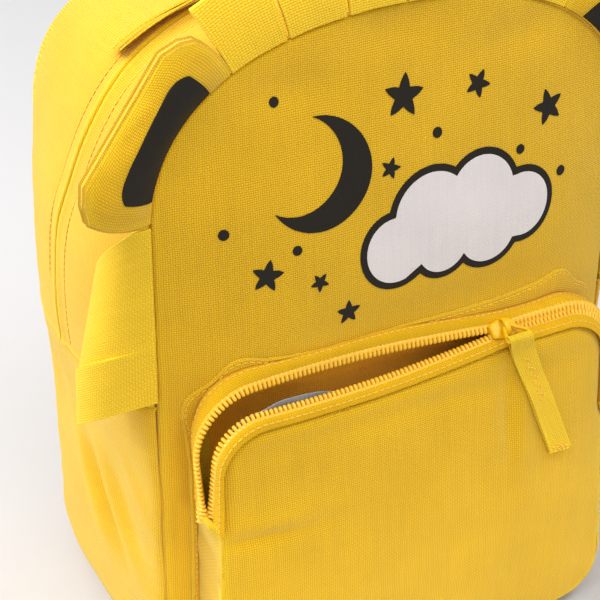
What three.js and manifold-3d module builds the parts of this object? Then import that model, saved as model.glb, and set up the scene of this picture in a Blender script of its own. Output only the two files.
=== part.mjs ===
// A child's backpack: arched body with a zip band, zipped front pocket, padded ears and
// webbing tabs sewn into the front seam. Millimetres, +Z up, the front faces -Y.
import * as THREE from "three";
import { mergeVertices } from "three/addons/utils/BufferGeometryUtils.js";
import Module from "manifold-3d";

const wasm = await Module();
wasm.setup();

// Body
const WIDTH = 236; // between the side seams
const HEIGHT = 328; // top of the front seam
const DEPTH = 128; // front seam to back seam
const SEAM_BASE = 6; // bottom seams above the floor
const CORNER_RADIUS = 28; // bottom corners of the panels
const SHOULDER = 250; // where the front's straight sides turn into its arch
const ARCH_FULLNESS = 0.64; // of the front arch: 0.55 is an ellipse, 1 a box
const BACK_HALF = 117; // half the width of the back panel
const BACK_HEIGHT = 322;
const BACK_SHOULDER = 252;
const BACK_FULLNESS = 0.72;
const CROSS_SEAM = 165; // height where the zip band meets the lower band
const ZIP_SLIT = 0.9; // between the two cloth edges that cover the main zip
const ZIP_BAND = 26; // width of the main zip under them

// Cloth and clearances
const CLOTH = 2; // woven cloth with its backing
const TAPE = 1.2; // zip tape and lining
const WEBBING = 1.4;
const BACK_PAD = 6;
const GAP = 0.4; // between sewn pieces
const FACE_GAP = 0.7; // between a curved face and what lies on it
const SEAM_GAP = 1; // from the front seam to the ears and tabs sewn into it

// Front pocket
const POCKET_HALF = 102.5;
const POCKET_TOP = 166.5;
const POCKET_BASE = 4;
const POCKET_RADIUS = 25;
const POCKET_DEPTH = 29; // front seam plane to the pocket's front edge, at its top
const POCKET_HEEL = 8; // how much deeper it is at its base
const POCKET_SPREAD = 5; // and how much wider on each side
const POCKET_PUFF = 8;
const ZIP_END = 114; // height of the pocket zip's two ends
const ZIP_END_SPACE = 4; // from them to the pocket's side strip
const ZIP_SET_BACK = 6; // of the closed zip behind the pocket's front edge
const COIL_RADIUS = 1.5;
const SIDE_PUFF = 2; // swell of the pocket's side strip
// How far the pocket's seam and its zip lie outside its front edge.
const POCKET_SEAM = { side: 0.5, base: 5, top: 12.5 };
const POCKET_ZIP = { side: 2, base: 2, top: 3 };

// Ears and tabs
const EAR_LOW = 254;
const EAR_HIGH = 311.5;
const EAR_HEIGHT = 35;
const EAR_TILT = 4; // lower at its upper end
const EAR_ROUND = 7; // drop of its two corners
const EAR_FLARE = 10; // wider than its foot on each side
const EAR_CUP = 5; // dish of its face
const EAR_PAD = 8;
const EAR_EDGE = 1.6; // thickness of its rim
const TAB_THICK = 2.8; // webbing folded double
const TOP_TABS = 6;
const TOP_TAB_LENGTH = 29;
const TOP_TAB_LEAN = 6; // of its end, to the back
const TAB_SPACE = 0.03; // of a top tab's width, left free at each side

// Straps and handle
const STRAP_WIDTH = 48;
const STRAP_END_WIDTH = 32;
const STRAP_PAD = 7;
const WEB_WIDTH = 20;
const HANDLE_WIDTH = 22;
const HANDLE_SPAN = 120; // along the band, foot to foot
const HANDLE_DEPTH = 0.8; // between the front seam, 0, and the back seam, 1
const ADJUSTER = {
  width: 28,
  height: 22,
  thick: 3.4,
  side: 3,
  slots: [{ top: 4.5, bottom: 9.5 }, { top: 13, bottom: 18 }],
};

// Zip sliders and pulls
const SLIDER_PLATE = 1.3;
const CHANNEL = COIL_RADIUS + 0.9; // from the chain's middle to a plate
const BRIDGE_RADIUS = 4.3;
const BRIDGE_WIRE = 1.1;
const BRIDGE_WIDTH = 2.4;
const POCKET_SLIDER = { length: 12, width: 9, post: { length: 1.8, width: 1.2, x: -4.8 } };
const MAIN_SLIDER = { length: 11, width: 8 };
const RING = { length: 11, width: 15, wire: 1.3, nose: 3.9 };
const PULL_WIDTH = 12.5;
const PULL_LENGTH = 62;
const PULL_THICK = 2; // tape doubled
const POCKET_PULL = { run: 0.645, lean: 0.38, length: 70 }; // lean is sideways for each mm down
const PULL_DRIFT = 8; // a main pull's free end lies this much behind the zip
// Along the main zip from its left end, and the way the pull lies.
const MAIN_PULLS = [
  { label: "left", run: 0.418, side: -1 },
  { label: "right", run: 0.475, side: 1 },
];

const FRONT = -DEPTH / 2;
const BACK = DEPTH / 2;
const HALF = WIDTH / 2;
const POCKET_Y = FRONT - POCKET_DEPTH;
const TRACK_Y = POCKET_Y + ZIP_SET_BACK;

// How far the front panel stands out, by share of its height.
const FRONT_LIFT = [
  { share: 0, out: 0 },
  { share: 0.08, out: 7 },
  { share: 0.3, out: 11.5 },
  { share: 0.6, out: 14 },
  { share: 0.78, out: 8.5 },
  { share: 0.9, out: 2.6 },
  { share: 1, out: 0 },
];

// How far the side band stands out between its two seams, by height.
const BAND_BULGE = [
  { z: 0, out: 9 },
  { z: 60, out: 9 },
  { z: 105, out: 9.5 },
  { z: 130, out: 11.5 },
  { z: 157, out: 15.5 },
  { z: 185, out: 17.5 },
  { z: 225, out: 16 },
  { z: 262, out: 8.5 },
  { z: 300, out: 5 },
  { z: 330, out: 6 },
];

// Place of the main zip between the front seam, 0, and the back seam, 1, by height.
const ZIP_LINE = [
  { z: 150, depth: 0.54 },
  { z: 225, depth: 0.52 },
  { z: 275, depth: 0.415 },
  { z: 315, depth: 0.385 },
  { z: 332, depth: 0.385 },
];

// Long wrinkles of the lower side band: from and to as height and depth share, with the
// width and height of the ridge.
const BAND_FOLDS = [
  { z0: 128, v0: 0.42, z1: 46, v1: 0.06, width: 9, out: 2.6 },
  { z0: 132, v0: 0.66, z1: 40, v1: 0.3, width: 10, out: 2.2 },
  { z0: 120, v0: 0.54, z1: 52, v1: 0.18, width: 8, out: -2.4 },
  { z0: 158, v0: 0.78, z1: 96, v1: 0.82, width: 14, out: -2.8 },
];

// How wide the pocket zip stands open, along it from its left end to its right end.
const ZIP_OPENING = [
  { run: 0, open: 4.4 },
  { run: 0.06, open: 8 },
  { run: 0.157, open: 14 },
  { run: 0.294, open: 18 },
  { run: 0.431, open: 17 },
  { run: 0.539, open: 12 },
  { run: 0.617, open: 7 },
  { run: 0.647, open: 4.6 },
  { run: 0.706, open: 4.4 },
  { run: 1, open: 4.4 },
];

// Width of the stitched-down strip around the pocket, along it from side to side.
const FLANGE_WIDTH = [
  { run: 0, wide: 4 },
  { run: 0.27, wide: 4.2 },
  { run: 0.295, wide: 6.2 },
  { run: 0.317, wide: 3.4 },
  { run: 0.339, wide: 6.2 },
  { run: 0.364, wide: 4 },
  { run: 0.5, wide: 2.4 },
  { run: 0.636, wide: 4 },
  { run: 0.661, wide: 6.2 },
  { run: 0.683, wide: 3.4 },
  { run: 0.705, wide: 6.2 },
  { run: 0.73, wide: 4.2 },
  { run: 1, wide: 4 },
];

// Side tabs: each end's height on the seam, and how far that end reaches out, back and down.
const SIDE_TABS = [
  {
    name: "upper",
    top: { z: 252, out: 16, back: 17, down: 21 },
    bottom: { z: 196, out: 25, back: 23, down: 17 },
  },
  {
    name: "lower",
    top: { z: 194.5, out: 27, back: 21, down: 15 },
    bottom: { z: 168, out: 29, back: 19, down: 14 },
  },
];

// Centre line of a shoulder strap's outer face, behind the back panel.
const STRAP_LINE = [
  { x: 36, behind: 7.5, z: 292 },
  { x: 38, behind: 8.5, z: 276 },
  { x: 43, behind: 19, z: 255 },
  { x: 51, behind: 34, z: 222 },
  { x: 62, behind: 42, z: 176 },
  { x: 71, behind: 40, z: 134 },
  { x: 76, behind: 34, z: 104 },
];

// The webbing's free end and the points where it runs down to the bag's corner.
const WEB_TAIL = { x: 79, behind: 40, z: 26 };
const WEB_FOOT = [
  { x: 84, behind: 15, z: 56 },
  { x: 89, behind: 3.5, z: 40 },
  { x: 91, behind: 2.9, z: 26 },
];

// Corners of the piece that holds the webbing, on the back panel.
const CORNER_PIECE = [
  { x: 106, z: 22 },
  { x: 106, z: 62 },
  { x: 80, z: 44 },
  { x: 76, z: 30 },
];

// Height of the hand loop over the band, along it from side to side.
const HANDLE_RISE = [
  { run: 0, up: 1 },
  { run: 0.18, up: 1 },
  { run: 0.28, up: 7 },
  { run: 0.39, up: 20 },
  { run: 0.5, up: 25 },
  { run: 0.61, up: 20 },
  { run: 0.72, up: 7 },
  { run: 0.82, up: 1 },
  { run: 1, up: 1 },
];

// Colours, roughness
const YELLOW = { color: 0xe4b932, roughness: 0.85 };
const BRIGHT = { color: 0xf9d12f, roughness: 0.75 };
const DARK = { color: 0xcf8d13, roughness: 0.9 };
const GREY = { color: 0x9a9a9c, roughness: 0.9 };
const PAINTED = { color: 0xdcb023, roughness: 0.45 };

const bag = new THREE.Group();

function addPart(name, geometry, finish) {
  const material = new THREE.MeshStandardMaterial({ metalness: 0, ...finish });
  const mesh = new THREE.Mesh(geometry, material);
  mesh.name = name;
  bag.add(mesh);
  return mesh;
}

// A smooth curve through one column of a table.
function column(rows, key, value) {
  const keys = rows.map((row) => row[key]);
  const values = rows.map((row) => row[value]);
  const curve = new THREE.CubicInterpolant(keys, values, 1);
  return (at) => curve.evaluate(at)[0];
}

function bisect(rises, target, low, high) {
  for (let turn = 0; turn < 40; turn++) {
    const middle = (low + high) / 2;
    if (rises(middle) < target) low = middle;
    else high = middle;
  }
  return (low + high) / 2;
}

const lerp = THREE.MathUtils.lerp;
const clamp = THREE.MathUtils.clamp;

// A closed wall: the grid of a surface, the same grid moved in by its thickness, and a rim.
// The wall grows to the side away from the surface's normal, du x dv.
function wall(surface, columns, rows, thickness) {
  const STEP = 1e-3;
  const depth = typeof thickness === "function" ? thickness : () => thickness;
  const width = columns + 1;
  const count = width * (rows + 1);
  const positions = new Float32Array(count * 6);
  for (let j = 0; j <= rows; j++) {
    for (let i = 0; i <= columns; i++) {
      const u = i / columns;
      const v = j / rows;
      const point = surface(u, v);
      const du = surface(Math.min(u + STEP, 1), v).sub(surface(Math.max(u - STEP, 0), v));
      const dv = surface(u, Math.min(v + STEP, 1)).sub(surface(u, Math.max(v - STEP, 0)));
      const normal = du.cross(dv).normalize();
      const k = j * width + i;
      point.toArray(positions, k * 3);
      point.addScaledVector(normal, -depth(u, v)).toArray(positions, (count + k) * 3);
    }
  }
  const index = [];
  const quad = (a, b, c, d) => index.push(a, b, c, a, c, d);
  for (let j = 0; j < rows; j++) {
    for (let i = 0; i < columns; i++) {
      const k = j * width + i;
      quad(k, k + 1, k + width + 1, k + width);
      quad(count + k, count + k + width, count + k + width + 1, count + k + 1);
    }
  }
  const rim = [];
  for (let i = 0; i < columns; i++) rim.push(i);
  for (let j = 0; j < rows; j++) rim.push(j * width + columns);
  for (let i = columns; i > 0; i--) rim.push(rows * width + i);
  for (let j = rows; j > 0; j--) rim.push(j * width);
  rim.forEach((a, i) => {
    const b = rim[(i + 1) % rim.length];
    quad(b, a, count + a, count + b);
  });
  return facingOut(positions, index);
}

// Turns every triangle over if the body came out inside out.
function facingOut(positions, index) {
  const corner = [new THREE.Vector3(), new THREE.Vector3(), new THREE.Vector3()];
  let volume = 0;
  for (let t = 0; t < index.length; t += 3) {
    corner.forEach((point, i) => point.fromArray(positions, index[t + i] * 3));
    volume += corner[0].dot(corner[1].cross(corner[2]));
  }
  const geometry = new THREE.BufferGeometry();
  geometry.setAttribute("position", new THREE.BufferAttribute(positions, 3));
  geometry.setIndex(volume < 0 ? index.reverse() : index);
  return geometry;
}

// Joins closed geometries into one body.
function join(geometries) {
  const solids = geometries.map((geometry) => {
    const bare = geometry.clone();
    bare.deleteAttribute("normal");
    bare.deleteAttribute("uv");
    const merged = mergeVertices(bare, 1e-4);
    return new wasm.Manifold(new wasm.Mesh({
      numProp: 3,
      vertProperties: new Float32Array(merged.attributes.position.array),
      triVerts: new Uint32Array(merged.index.array),
    }));
  });
  const mesh = solids.reduce((whole, solid) => whole.add(solid)).getMesh();
  const geometry = new THREE.BufferGeometry();
  geometry.setAttribute("position", new THREE.BufferAttribute(mesh.vertProperties, 3));
  geometry.setIndex(new THREE.BufferAttribute(mesh.triVerts, 1));
  return geometry;
}

// Right half of a panel's outline, from the middle of its base to the middle of its top.
function archOutline({ half, base, shoulder, top, fullness }) {
  const path = new THREE.Path();
  path.moveTo(0, base);
  path.lineTo(half - CORNER_RADIUS, base);
  path.absarc(half - CORNER_RADIUS, base + CORNER_RADIUS, CORNER_RADIUS, -Math.PI / 2, 0, false);
  path.lineTo(half, shoulder);
  path.bezierCurveTo(half, lerp(shoulder, top, fullness), fullness * half, top, 0, top);
  return path;
}

function boxOutline({ half, base, top, radius }) {
  const path = new THREE.Path();
  path.moveTo(0, base);
  path.lineTo(half - radius, base);
  path.absarc(half - radius, base + radius, radius, -Math.PI / 2, 0, false);
  path.lineTo(half, top - radius);
  path.absarc(half - radius, top - radius, radius, 0, Math.PI / 2, false);
  path.lineTo(0, top);
  return path;
}

// Point and outward direction on a mirrored outline: 0 is the base's middle, 1 and -1 the
// top's middle by the right and by the left.
function onOutline(path, share) {
  const side = share < 0 ? -1 : 1;
  const run = Math.min(Math.abs(share), 1);
  const point = path.getPoint(run);
  const tangent = path.getTangent(run);
  return { x: side * point.x, z: point.y, outX: side * tangent.y, outZ: -tangent.x };
}

const shareAtHeight = (path, z) => bisect((run) => path.getPoint(run).y, z, 0, 1);

// From the left share over the top to the right one, and the same under the base.
const overTop = (from, k) => (k < 0.5 ? -lerp(from, 1, 2 * k) : lerp(from, 1, 2 * (1 - k)));
const underBase = (to, k) => lerp(-to, to, k);

const frontOutline = archOutline({
  half: HALF, base: SEAM_BASE, shoulder: SHOULDER, top: HEIGHT, fullness: ARCH_FULLNESS,
});
const backOutline = archOutline({
  half: BACK_HALF,
  base: SEAM_BASE,
  shoulder: BACK_SHOULDER,
  top: BACK_HEIGHT,
  fullness: BACK_FULLNESS,
});
const lift = column(FRONT_LIFT, "share", "out");
const bulge = column(BAND_BULGE, "z", "out");
const zipDepth = column(ZIP_LINE, "z", "depth");

// Column of a panel at x: where it starts on the base and ends on the arch.
function panelColumn(path, half, x) {
  const arch = path.curves[path.curves.length - 1];
  const t = bisect((run) => -arch.getPoint(run).x, -Math.abs(x), 0, 1);
  const past = Math.max(Math.abs(x) - (half - CORNER_RADIUS), 0);
  const rise = CORNER_RADIUS - Math.sqrt(Math.max(CORNER_RADIUS ** 2 - past ** 2, 0));
  return { base: SEAM_BASE + rise, top: arch.getPoint(t).y };
}

const sideFade = (x, half) => 1 - Math.min(Math.abs(x) / half, 1) ** 4;
const spread = (u) => Math.sin((u - 0.5) * Math.PI);

function frontPoint(x, share) {
  const { base, top } = panelColumn(frontOutline, HALF, x);
  const y = FRONT - lift(share) * sideFade(x, HALF);
  return new THREE.Vector3(x, y, lerp(base, top, share));
}

// Depth of the front panel's face at a place on it.
function frontFace(x, z) {
  const { base, top } = panelColumn(frontOutline, HALF, x);
  return frontPoint(x, clamp((z - base) / (top - base), 0, 1)).y;
}

function foldHeight(z, v) {
  let height = 0;
  for (const fold of BAND_FOLDS) {
    const alongZ = fold.z1 - fold.z0;
    const alongY = (fold.v1 - fold.v0) * DEPTH;
    const length = Math.hypot(alongZ, alongY);
    const fromZ = z - fold.z0;
    const fromY = (v - fold.v0) * DEPTH;
    const run = (fromZ * alongZ + fromY * alongY) / length ** 2;
    const off = (fromY * alongZ - fromZ * alongY) / length;
    const taper = Math.sin(Math.PI * clamp(run, 0, 1));
    height += fold.out * taper * Math.exp(-((off / fold.width) ** 2));
  }
  return height;
}

const BAND_FULLNESS = 0.45; // 1 is a round swell, 0 a square one

// The band around the body: share along the outlines, v from the front seam to the back.
function bandPoint(share, v, raise = 0) {
  const front = onOutline(frontOutline, share);
  const back = onOutline(backOutline, share);
  const z = lerp(front.z, back.z, v);
  const onSide = Math.abs(front.outX) ** 2;
  const edge = Math.sin(Math.PI * clamp(v, 0, 1)) ** BAND_FULLNESS;
  const out = bulge(z) * edge + foldHeight(z, v) * onSide * edge + raise;
  const x = lerp(front.x, back.x, v) + lerp(front.outX, back.outX, v) * out;
  return new THREE.Vector3(
    x,
    lerp(FRONT, BACK, v),
    Math.max(z + lerp(front.outZ, back.outZ, v) * out, 0),
  );
}

const SEAM_V = (CLOTH + FACE_GAP) / DEPTH; // clear of the front panel's edge
const crossShare = shareAtHeight(frontOutline, CROSS_SEAM);
const seamShare = (mm) => mm / frontOutline.getLength();
const zipBandLength = 2 * (1 - crossShare) * frontOutline.getLength();

function addBody() {
  addPart("front_panel", wall((u, v) => frontPoint(HALF * spread(u), v), 20, 11, CLOTH), YELLOW);

  const backFace = (u, v) => {
    const x = BACK_HALF * spread(u);
    const { base, top } = panelColumn(backOutline, BACK_HALF, x);
    return new THREE.Vector3(x, BACK, lerp(base, top, v));
  };
  addPart("back_panel", wall(backFace, 12, 5, BACK_PAD), YELLOW);

  const zipFrom = crossShare + seamShare(GAP / 2);
  const zipAt = (share) => zipDepth(onOutline(frontOutline, share).z);
  const strip = (from, to, raise) => (u, v) => {
    const share = overTop(zipFrom, u);
    return bandPoint(share, lerp(from(zipAt(share)), to(zipAt(share)), v), raise);
  };
  const slit = ZIP_SLIT / 2 / DEPTH;
  const zipHalf = ZIP_BAND / 2 / DEPTH;
  const frontStrip = strip(() => SEAM_V, (zip) => zip - slit, 0);
  const backStrip = strip((zip) => zip + slit, () => 1 - GAP / DEPTH, 0);
  const zipStrip = strip((zip) => zip - zipHalf, (zip) => zip + zipHalf, -CLOTH - GAP);
  addPart("gusset_front", wall(frontStrip, 30, 4, CLOTH), BRIGHT);
  addPart("gusset_back", wall(backStrip, 30, 3, CLOTH), BRIGHT);
  addPart("main_zip", wall(zipStrip, 30, 1, TAPE), DARK);

  const lower = (u, v) =>
    bandPoint(underBase(crossShare - seamShare(GAP / 2), u), lerp(SEAM_V, 1 - GAP / DEPTH, v));
  addPart("gusset_bottom", wall(lower, 36, 7, -CLOTH), BRIGHT);
}

// Pocket outlines: where it meets the panel, the closed zip line, and its front edge.
const pocketAttach = boxOutline({
  half: POCKET_HALF + POCKET_SEAM.side,
  base: POCKET_BASE + POCKET_SEAM.base,
  top: POCKET_TOP + POCKET_SEAM.top,
  radius: POCKET_RADIUS,
});
const pocketTrack = boxOutline({
  half: POCKET_HALF + POCKET_ZIP.side,
  base: POCKET_BASE + POCKET_ZIP.base,
  top: POCKET_TOP + POCKET_ZIP.top,
  radius: POCKET_RADIUS,
});
const pocketEdge = boxOutline({
  half: POCKET_HALF, base: POCKET_BASE, top: POCKET_TOP, radius: POCKET_RADIUS,
});

// The pocket's front spreads and deepens from its top to its base.
const heel = (z) => THREE.MathUtils.smoothstep(POCKET_TOP - z, 0, POCKET_TOP - POCKET_BASE);
const heelWidth = (z) => 1 + (POCKET_SPREAD / POCKET_HALF) * heel(z);
const pocketY = (z) => POCKET_Y - POCKET_HEEL * heel(z);
const zipShare = shareAtHeight(pocketTrack, ZIP_END);
const opening = column(ZIP_OPENING, "run", "open");
const CLOSED = ZIP_OPENING[0].open;
// Share of the opening by which each half of the zip moves out and back.
const UPPER_SHARE = { out: 0.27, back: 0.34 };
const LOWER_SHARE = { out: -0.34, back: -0.16 };
const SAG = 0.46; // of the opening, taken by the pocket's front edge

function attachPoint(share, outward = 0) {
  const at = onOutline(pocketAttach, share);
  const x = at.x + at.outX * outward;
  const z = at.z + at.outZ * outward;
  return new THREE.Vector3(x, frontFace(x, z) - FACE_GAP, z);
}

function edgePoint(share, sag) {
  const at = onOutline(pocketEdge, share);
  const z = at.z - at.outZ * sag;
  return new THREE.Vector3((at.x - at.outX * sag) * heelWidth(z), pocketY(z), z);
}

// Where one half of the pocket's zip runs.
function trackPoint(run, shift) {
  const at = onOutline(pocketTrack, overTop(zipShare, run));
  const open = opening(run);
  return new THREE.Vector3(
    at.x + at.outX * shift.out * open,
    TRACK_Y + shift.back * open,
    at.z + at.outZ * shift.out * open,
  );
}

const edgeSag = (run) => SAG * (opening(run) - CLOSED);

const TAPE_CLEAR = 1; // between a tape's edge and its coil

// A tape from a seam to a zip half, stopping short of both.
function tapeSurface(seam, shift) {
  return (u, v) => {
    const start = seam(u);
    const end = trackPoint(u, shift);
    const way = end.clone().sub(start);
    const length = way.length();
    const short = lerp(GAP, length - COIL_RADIUS - TAPE_CLEAR, v);
    return start.addScaledVector(way, short / length);
  };
}

function coilGeometry(shift) {
  const SIDES = 6;
  const STEPS = 30;
  const points = [];
  for (let i = 0; i <= STEPS; i++) points.push(trackPoint(i / STEPS, shift));
  const section = new THREE.Shape();
  for (let i = 0; i < SIDES; i++) {
    const angle = (2 * Math.PI * i) / SIDES;
    const x = COIL_RADIUS * Math.cos(angle);
    const y = COIL_RADIUS * Math.sin(angle);
    if (i === 0) section.moveTo(x, y);
    else section.lineTo(x, y);
  }
  const extrudePath = new THREE.CatmullRomCurve3(points);
  return new THREE.ExtrudeGeometry(section, { steps: STEPS, extrudePath, curveSegments: 1 });
}

function pocketColumn(x) {
  const past = Math.max(Math.abs(x) - (POCKET_HALF - POCKET_RADIUS), 0);
  const rise = POCKET_RADIUS - Math.sqrt(Math.max(POCKET_RADIUS ** 2 - past ** 2, 0));
  const run = bisect((k) => onOutline(pocketEdge, overTop(zipShare, k)).x, x, 0, 1);
  const { outZ } = onOutline(pocketEdge, overTop(zipShare, run));
  return { base: POCKET_BASE + rise, top: POCKET_TOP - rise - edgeSag(run) * Math.max(outZ, 0) };
}

function pocketFace(x, share) {
  const { base, top } = pocketColumn(x);
  const puff = POCKET_PUFF * Math.sin(Math.PI * share) ** 0.7 * sideFade(x, POCKET_HALF);
  const z = lerp(base, top, share);
  return new THREE.Vector3(x * heelWidth(z), pocketY(z) - puff, z);
}

function pocketShare(x, z) {
  const { base, top } = pocketColumn(x);
  return clamp((z - base) / (top - base), 0, 1);
}

function addPocket() {
  const FACE_INSET = 0.6; // keeps the front's edge clear of the strips sewn to it
  const half = POCKET_HALF - FACE_INSET;
  addPart("pocket_front", wall((u, v) => pocketFace(half * spread(u), v), 18, 8, CLOTH), YELLOW);

  const LINING_INSET = 7;
  const LINING = { base: 0.03, top: 0.95 }; // shares of the front's height
  const lining = (u, v) => {
    const point = pocketFace((half - LINING_INSET) * spread(u), lerp(LINING.base, LINING.top, v));
    point.y += CLOTH + FACE_GAP;
    return point;
  };
  addPart("pocket_lining", wall(lining, 10, 3, TAPE), GREY);

  const SIDE = { seam: 0.02, edge: 0.9 }; // shares of the way from the seam to the front edge
  const sideEnd = zipShare - ZIP_END_SPACE / pocketEdge.getLength();
  const side = (u, v) => {
    const share = underBase(sideEnd, u);
    const { outX, outZ } = onOutline(pocketEdge, share);
    const across = lerp(SIDE.seam, SIDE.edge, v);
    const point = attachPoint(share).lerp(edgePoint(share, 0), across);
    const puff = SIDE_PUFF * Math.sin(Math.PI * across);
    return point.add(new THREE.Vector3(outX * puff, 0, outZ * puff));
  };
  addPart("pocket_gusset", wall(side, 26, 3, CLOTH), BRIGHT);

  const FLANGE_FROM = 0.26; // starts a little above the base on each side
  const FLANGE_START = 2.6; // clear of the zip's upper tape
  const flangeWidth = column(FLANGE_WIDTH, "run", "wide");
  const flange = (u, v) =>
    attachPoint(overTop(FLANGE_FROM, u), lerp(FLANGE_START, FLANGE_START + flangeWidth(u), v));
  addPart("pocket_flange", wall(flange, 30, 1, -TAPE), YELLOW);

  const upperSeam = (k) => attachPoint(overTop(zipShare, k));
  const lowerSeam = (k) =>
    edgePoint(overTop(zipShare, k), edgeSag(k)).add(new THREE.Vector3(0, CLOTH + GAP, 0));
  addPart("pocket_tape_upper", wall(tapeSurface(upperSeam, UPPER_SHARE), 30, 1, TAPE), DARK);
  addPart("pocket_tape_lower", wall(tapeSurface(lowerSeam, LOWER_SHARE), 30, 1, TAPE), DARK);
  addPart("pocket_coil_upper", coilGeometry(UPPER_SHARE), DARK);
  addPart("pocket_coil_lower", coilGeometry(LOWER_SHARE), DARK);
}

// Where a piece sewn into the front seam starts.
function seamPoint(at) {
  return new THREE.Vector3(at.x + at.outX * SEAM_GAP, FRONT - 1, at.z + at.outZ * SEAM_GAP);
}

// An ear: a padded flap whose foot follows the front seam and whose sides flare.
function addEar(name, side) {
  const low = shareAtHeight(frontOutline, EAR_LOW);
  const high = shareAtHeight(frontOutline, EAR_HIGH);
  const foot = (u) => onOutline(frontOutline, side * lerp(low, high, u));
  const start = foot(0);
  const end = foot(1);
  const along = new THREE.Vector3(end.x - start.x, 0, end.z - start.z);
  const half = along.length() / 2;
  along.normalize();
  const out = new THREE.Vector3(-side * -along.z, 0, side * -along.x);
  const middle = new THREE.Vector3((start.x + end.x) / 2, FRONT - 1, (start.z + end.z) / 2);
  const face = (u, v) => {
    const c = 2 * u - 1; // -1 at the lower end, 1 at the upper
    const base = seamPoint(foot(u));
    const crown = EAR_HEIGHT - EAR_TILT * u - EAR_ROUND * Math.abs(c) ** 5;
    const tip = middle.clone().addScaledVector(along, half * c).addScaledVector(out, crown);
    const flare = EAR_FLARE * c * Math.sin(Math.PI * (0.1 + 0.75 * v)) * v ** 0.5;
    const cup = EAR_CUP * Math.sin(Math.PI * v) * (1 - c * c);
    return base.lerp(tip, v).addScaledVector(along, flare).add(new THREE.Vector3(0, -cup, 0));
  };
  const fill = (u, v) =>
    lerp(EAR_EDGE, EAR_PAD, (Math.sin(Math.PI * u) * Math.sin(Math.PI * v)) ** 0.5);
  addPart(name, wall(face, 8, 5, (u, v) => -side * fill(u, v)), BRIGHT);
}

// A tab of folded webbing, standing out of the front seam between two shares of it.
function addTab(name, from, to, reach) {
  const surface = (u, v) => {
    const at = onOutline(frontOutline, lerp(from, to, u));
    return reach(seamPoint(at), at, u, v);
  };
  addPart(name, wall(surface, 3, 4, TAB_THICK), BRIGHT);
}

function addTabs() {
  const high = shareAtHeight(frontOutline, EAR_HIGH);
  const standing = (base, at, u, v) => {
    const length = TOP_TAB_LENGTH * v;
    return base.add(new THREE.Vector3(at.outX * length, TOP_TAB_LEAN * v * v, at.outZ * length));
  };
  for (let i = 0; i < TOP_TABS; i++) {
    const from = overTop(high, (i + TAB_SPACE) / TOP_TABS);
    const to = overTop(high, (i + 1 - TAB_SPACE) / TOP_TABS);
    addTab(`mane_tab_top_${i + 1}`, from, to, standing);
  }
  for (const side of [-1, 1]) {
    for (const row of SIDE_TABS) {
      const falling = (base, at, u, v) => {
        const end = side < 0 ? u : 1 - u; // 0 at the lower end of the tab
        const reach = (name) => lerp(row.bottom[name], row.top[name], end);
        const bend = v ** 2; // leaves the seam straight out, then falls back
        const out = side * reach("out") * Math.sin((v * Math.PI) / 2) ** 0.9;
        return base.add(new THREE.Vector3(out, reach("back") * bend, -reach("down") * bend));
      };
      const lower = side * shareAtHeight(frontOutline, row.bottom.z);
      const upper = side * shareAtHeight(frontOutline, row.top.z);
      const label = side < 0 ? "left" : "right";
      const ends = side < 0 ? [lower, upper] : [upper, lower];
      addTab(`mane_tab_${label}_${row.name}`, ...ends, falling);
    }
  }
}

// A zip slider lying along +X: a plate over the chain with a bridge on it and, where the
// chain is bare, a second plate under it with the post that parts its halves.
function sliderGeometry({ length, width, post, bridgeTurn }) {
  const outline = new THREE.Shape();
  const nose = width / 2;
  outline.absarc(length / 2 - nose, 0, nose, -Math.PI / 2, Math.PI / 2, false);
  outline.lineTo(-length / 2, nose * 0.8);
  outline.lineTo(-length / 2, -nose * 0.8);
  const plate = new THREE.ExtrudeGeometry(outline, {
    depth: SLIDER_PLATE, bevelEnabled: false, curveSegments: 4,
  });
  const pieces = [plate.clone().translate(0, 0, CHANNEL)];
  if (post) {
    pieces.push(plate.clone().translate(0, 0, -CHANNEL - SLIDER_PLATE));
    const height = 2 * CHANNEL + SLIDER_PLATE;
    pieces.push(new THREE.BoxGeometry(post.length, post.width, height).translate(post.x, 0, 0));
  }
  const bridge = new THREE.Shape();
  bridge.absarc(0, 0, BRIDGE_RADIUS, 0, Math.PI, false);
  bridge.absarc(0, 0, BRIDGE_RADIUS - BRIDGE_WIRE, Math.PI, 0, true);
  const arch = new THREE.ExtrudeGeometry(bridge, {
    depth: BRIDGE_WIDTH, bevelEnabled: false, curveSegments: 4,
  });
  const sunk = 0.3; // so that bridge and plate are one body
  arch.rotateX(Math.PI / 2).translate(0, BRIDGE_WIDTH / 2, CHANNEL + SLIDER_PLATE - sunk);
  arch.rotateZ(bridgeTurn);
  pieces.push(arch);
  return join(pieces);
}

// A flat wire ring lying along +X: a narrow round end at the origin, a wide bar at the other.
function ringGeometry({ length, width, wire, nose }) {
  const turn = (5 * Math.PI) / 9;
  const outline = new THREE.Shape();
  outline.absarc(nose, 0, nose, turn, 2 * Math.PI - turn, false);
  outline.lineTo(length, -width / 2);
  outline.lineTo(length, width / 2);
  const hole = new THREE.Path();
  hole.absarc(nose, 0, nose - wire, turn, 2 * Math.PI - turn, false);
  hole.lineTo(length - wire, wire - width / 2);
  hole.lineTo(length - wire, width / 2 - wire);
  outline.holes.push(hole);
  return new THREE.ExtrudeGeometry(outline, {
    depth: wire, bevelEnabled: false, curveSegments: 4,
  }).translate(0, 0, -wire / 2);
}

// Stands a group on a point with +X along one direction and +Z as near another as it can be.
function placeGroup(point, along, up) {
  const x = along.clone().normalize();
  const y = up.clone().cross(x).normalize();
  const z = x.clone().cross(y);
  const group = new THREE.Group();
  group.quaternion.setFromRotationMatrix(new THREE.Matrix4().makeBasis(x, y, z));
  group.position.copy(point);
  bag.add(group);
  group.updateMatrixWorld();
  return group;
}

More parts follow.
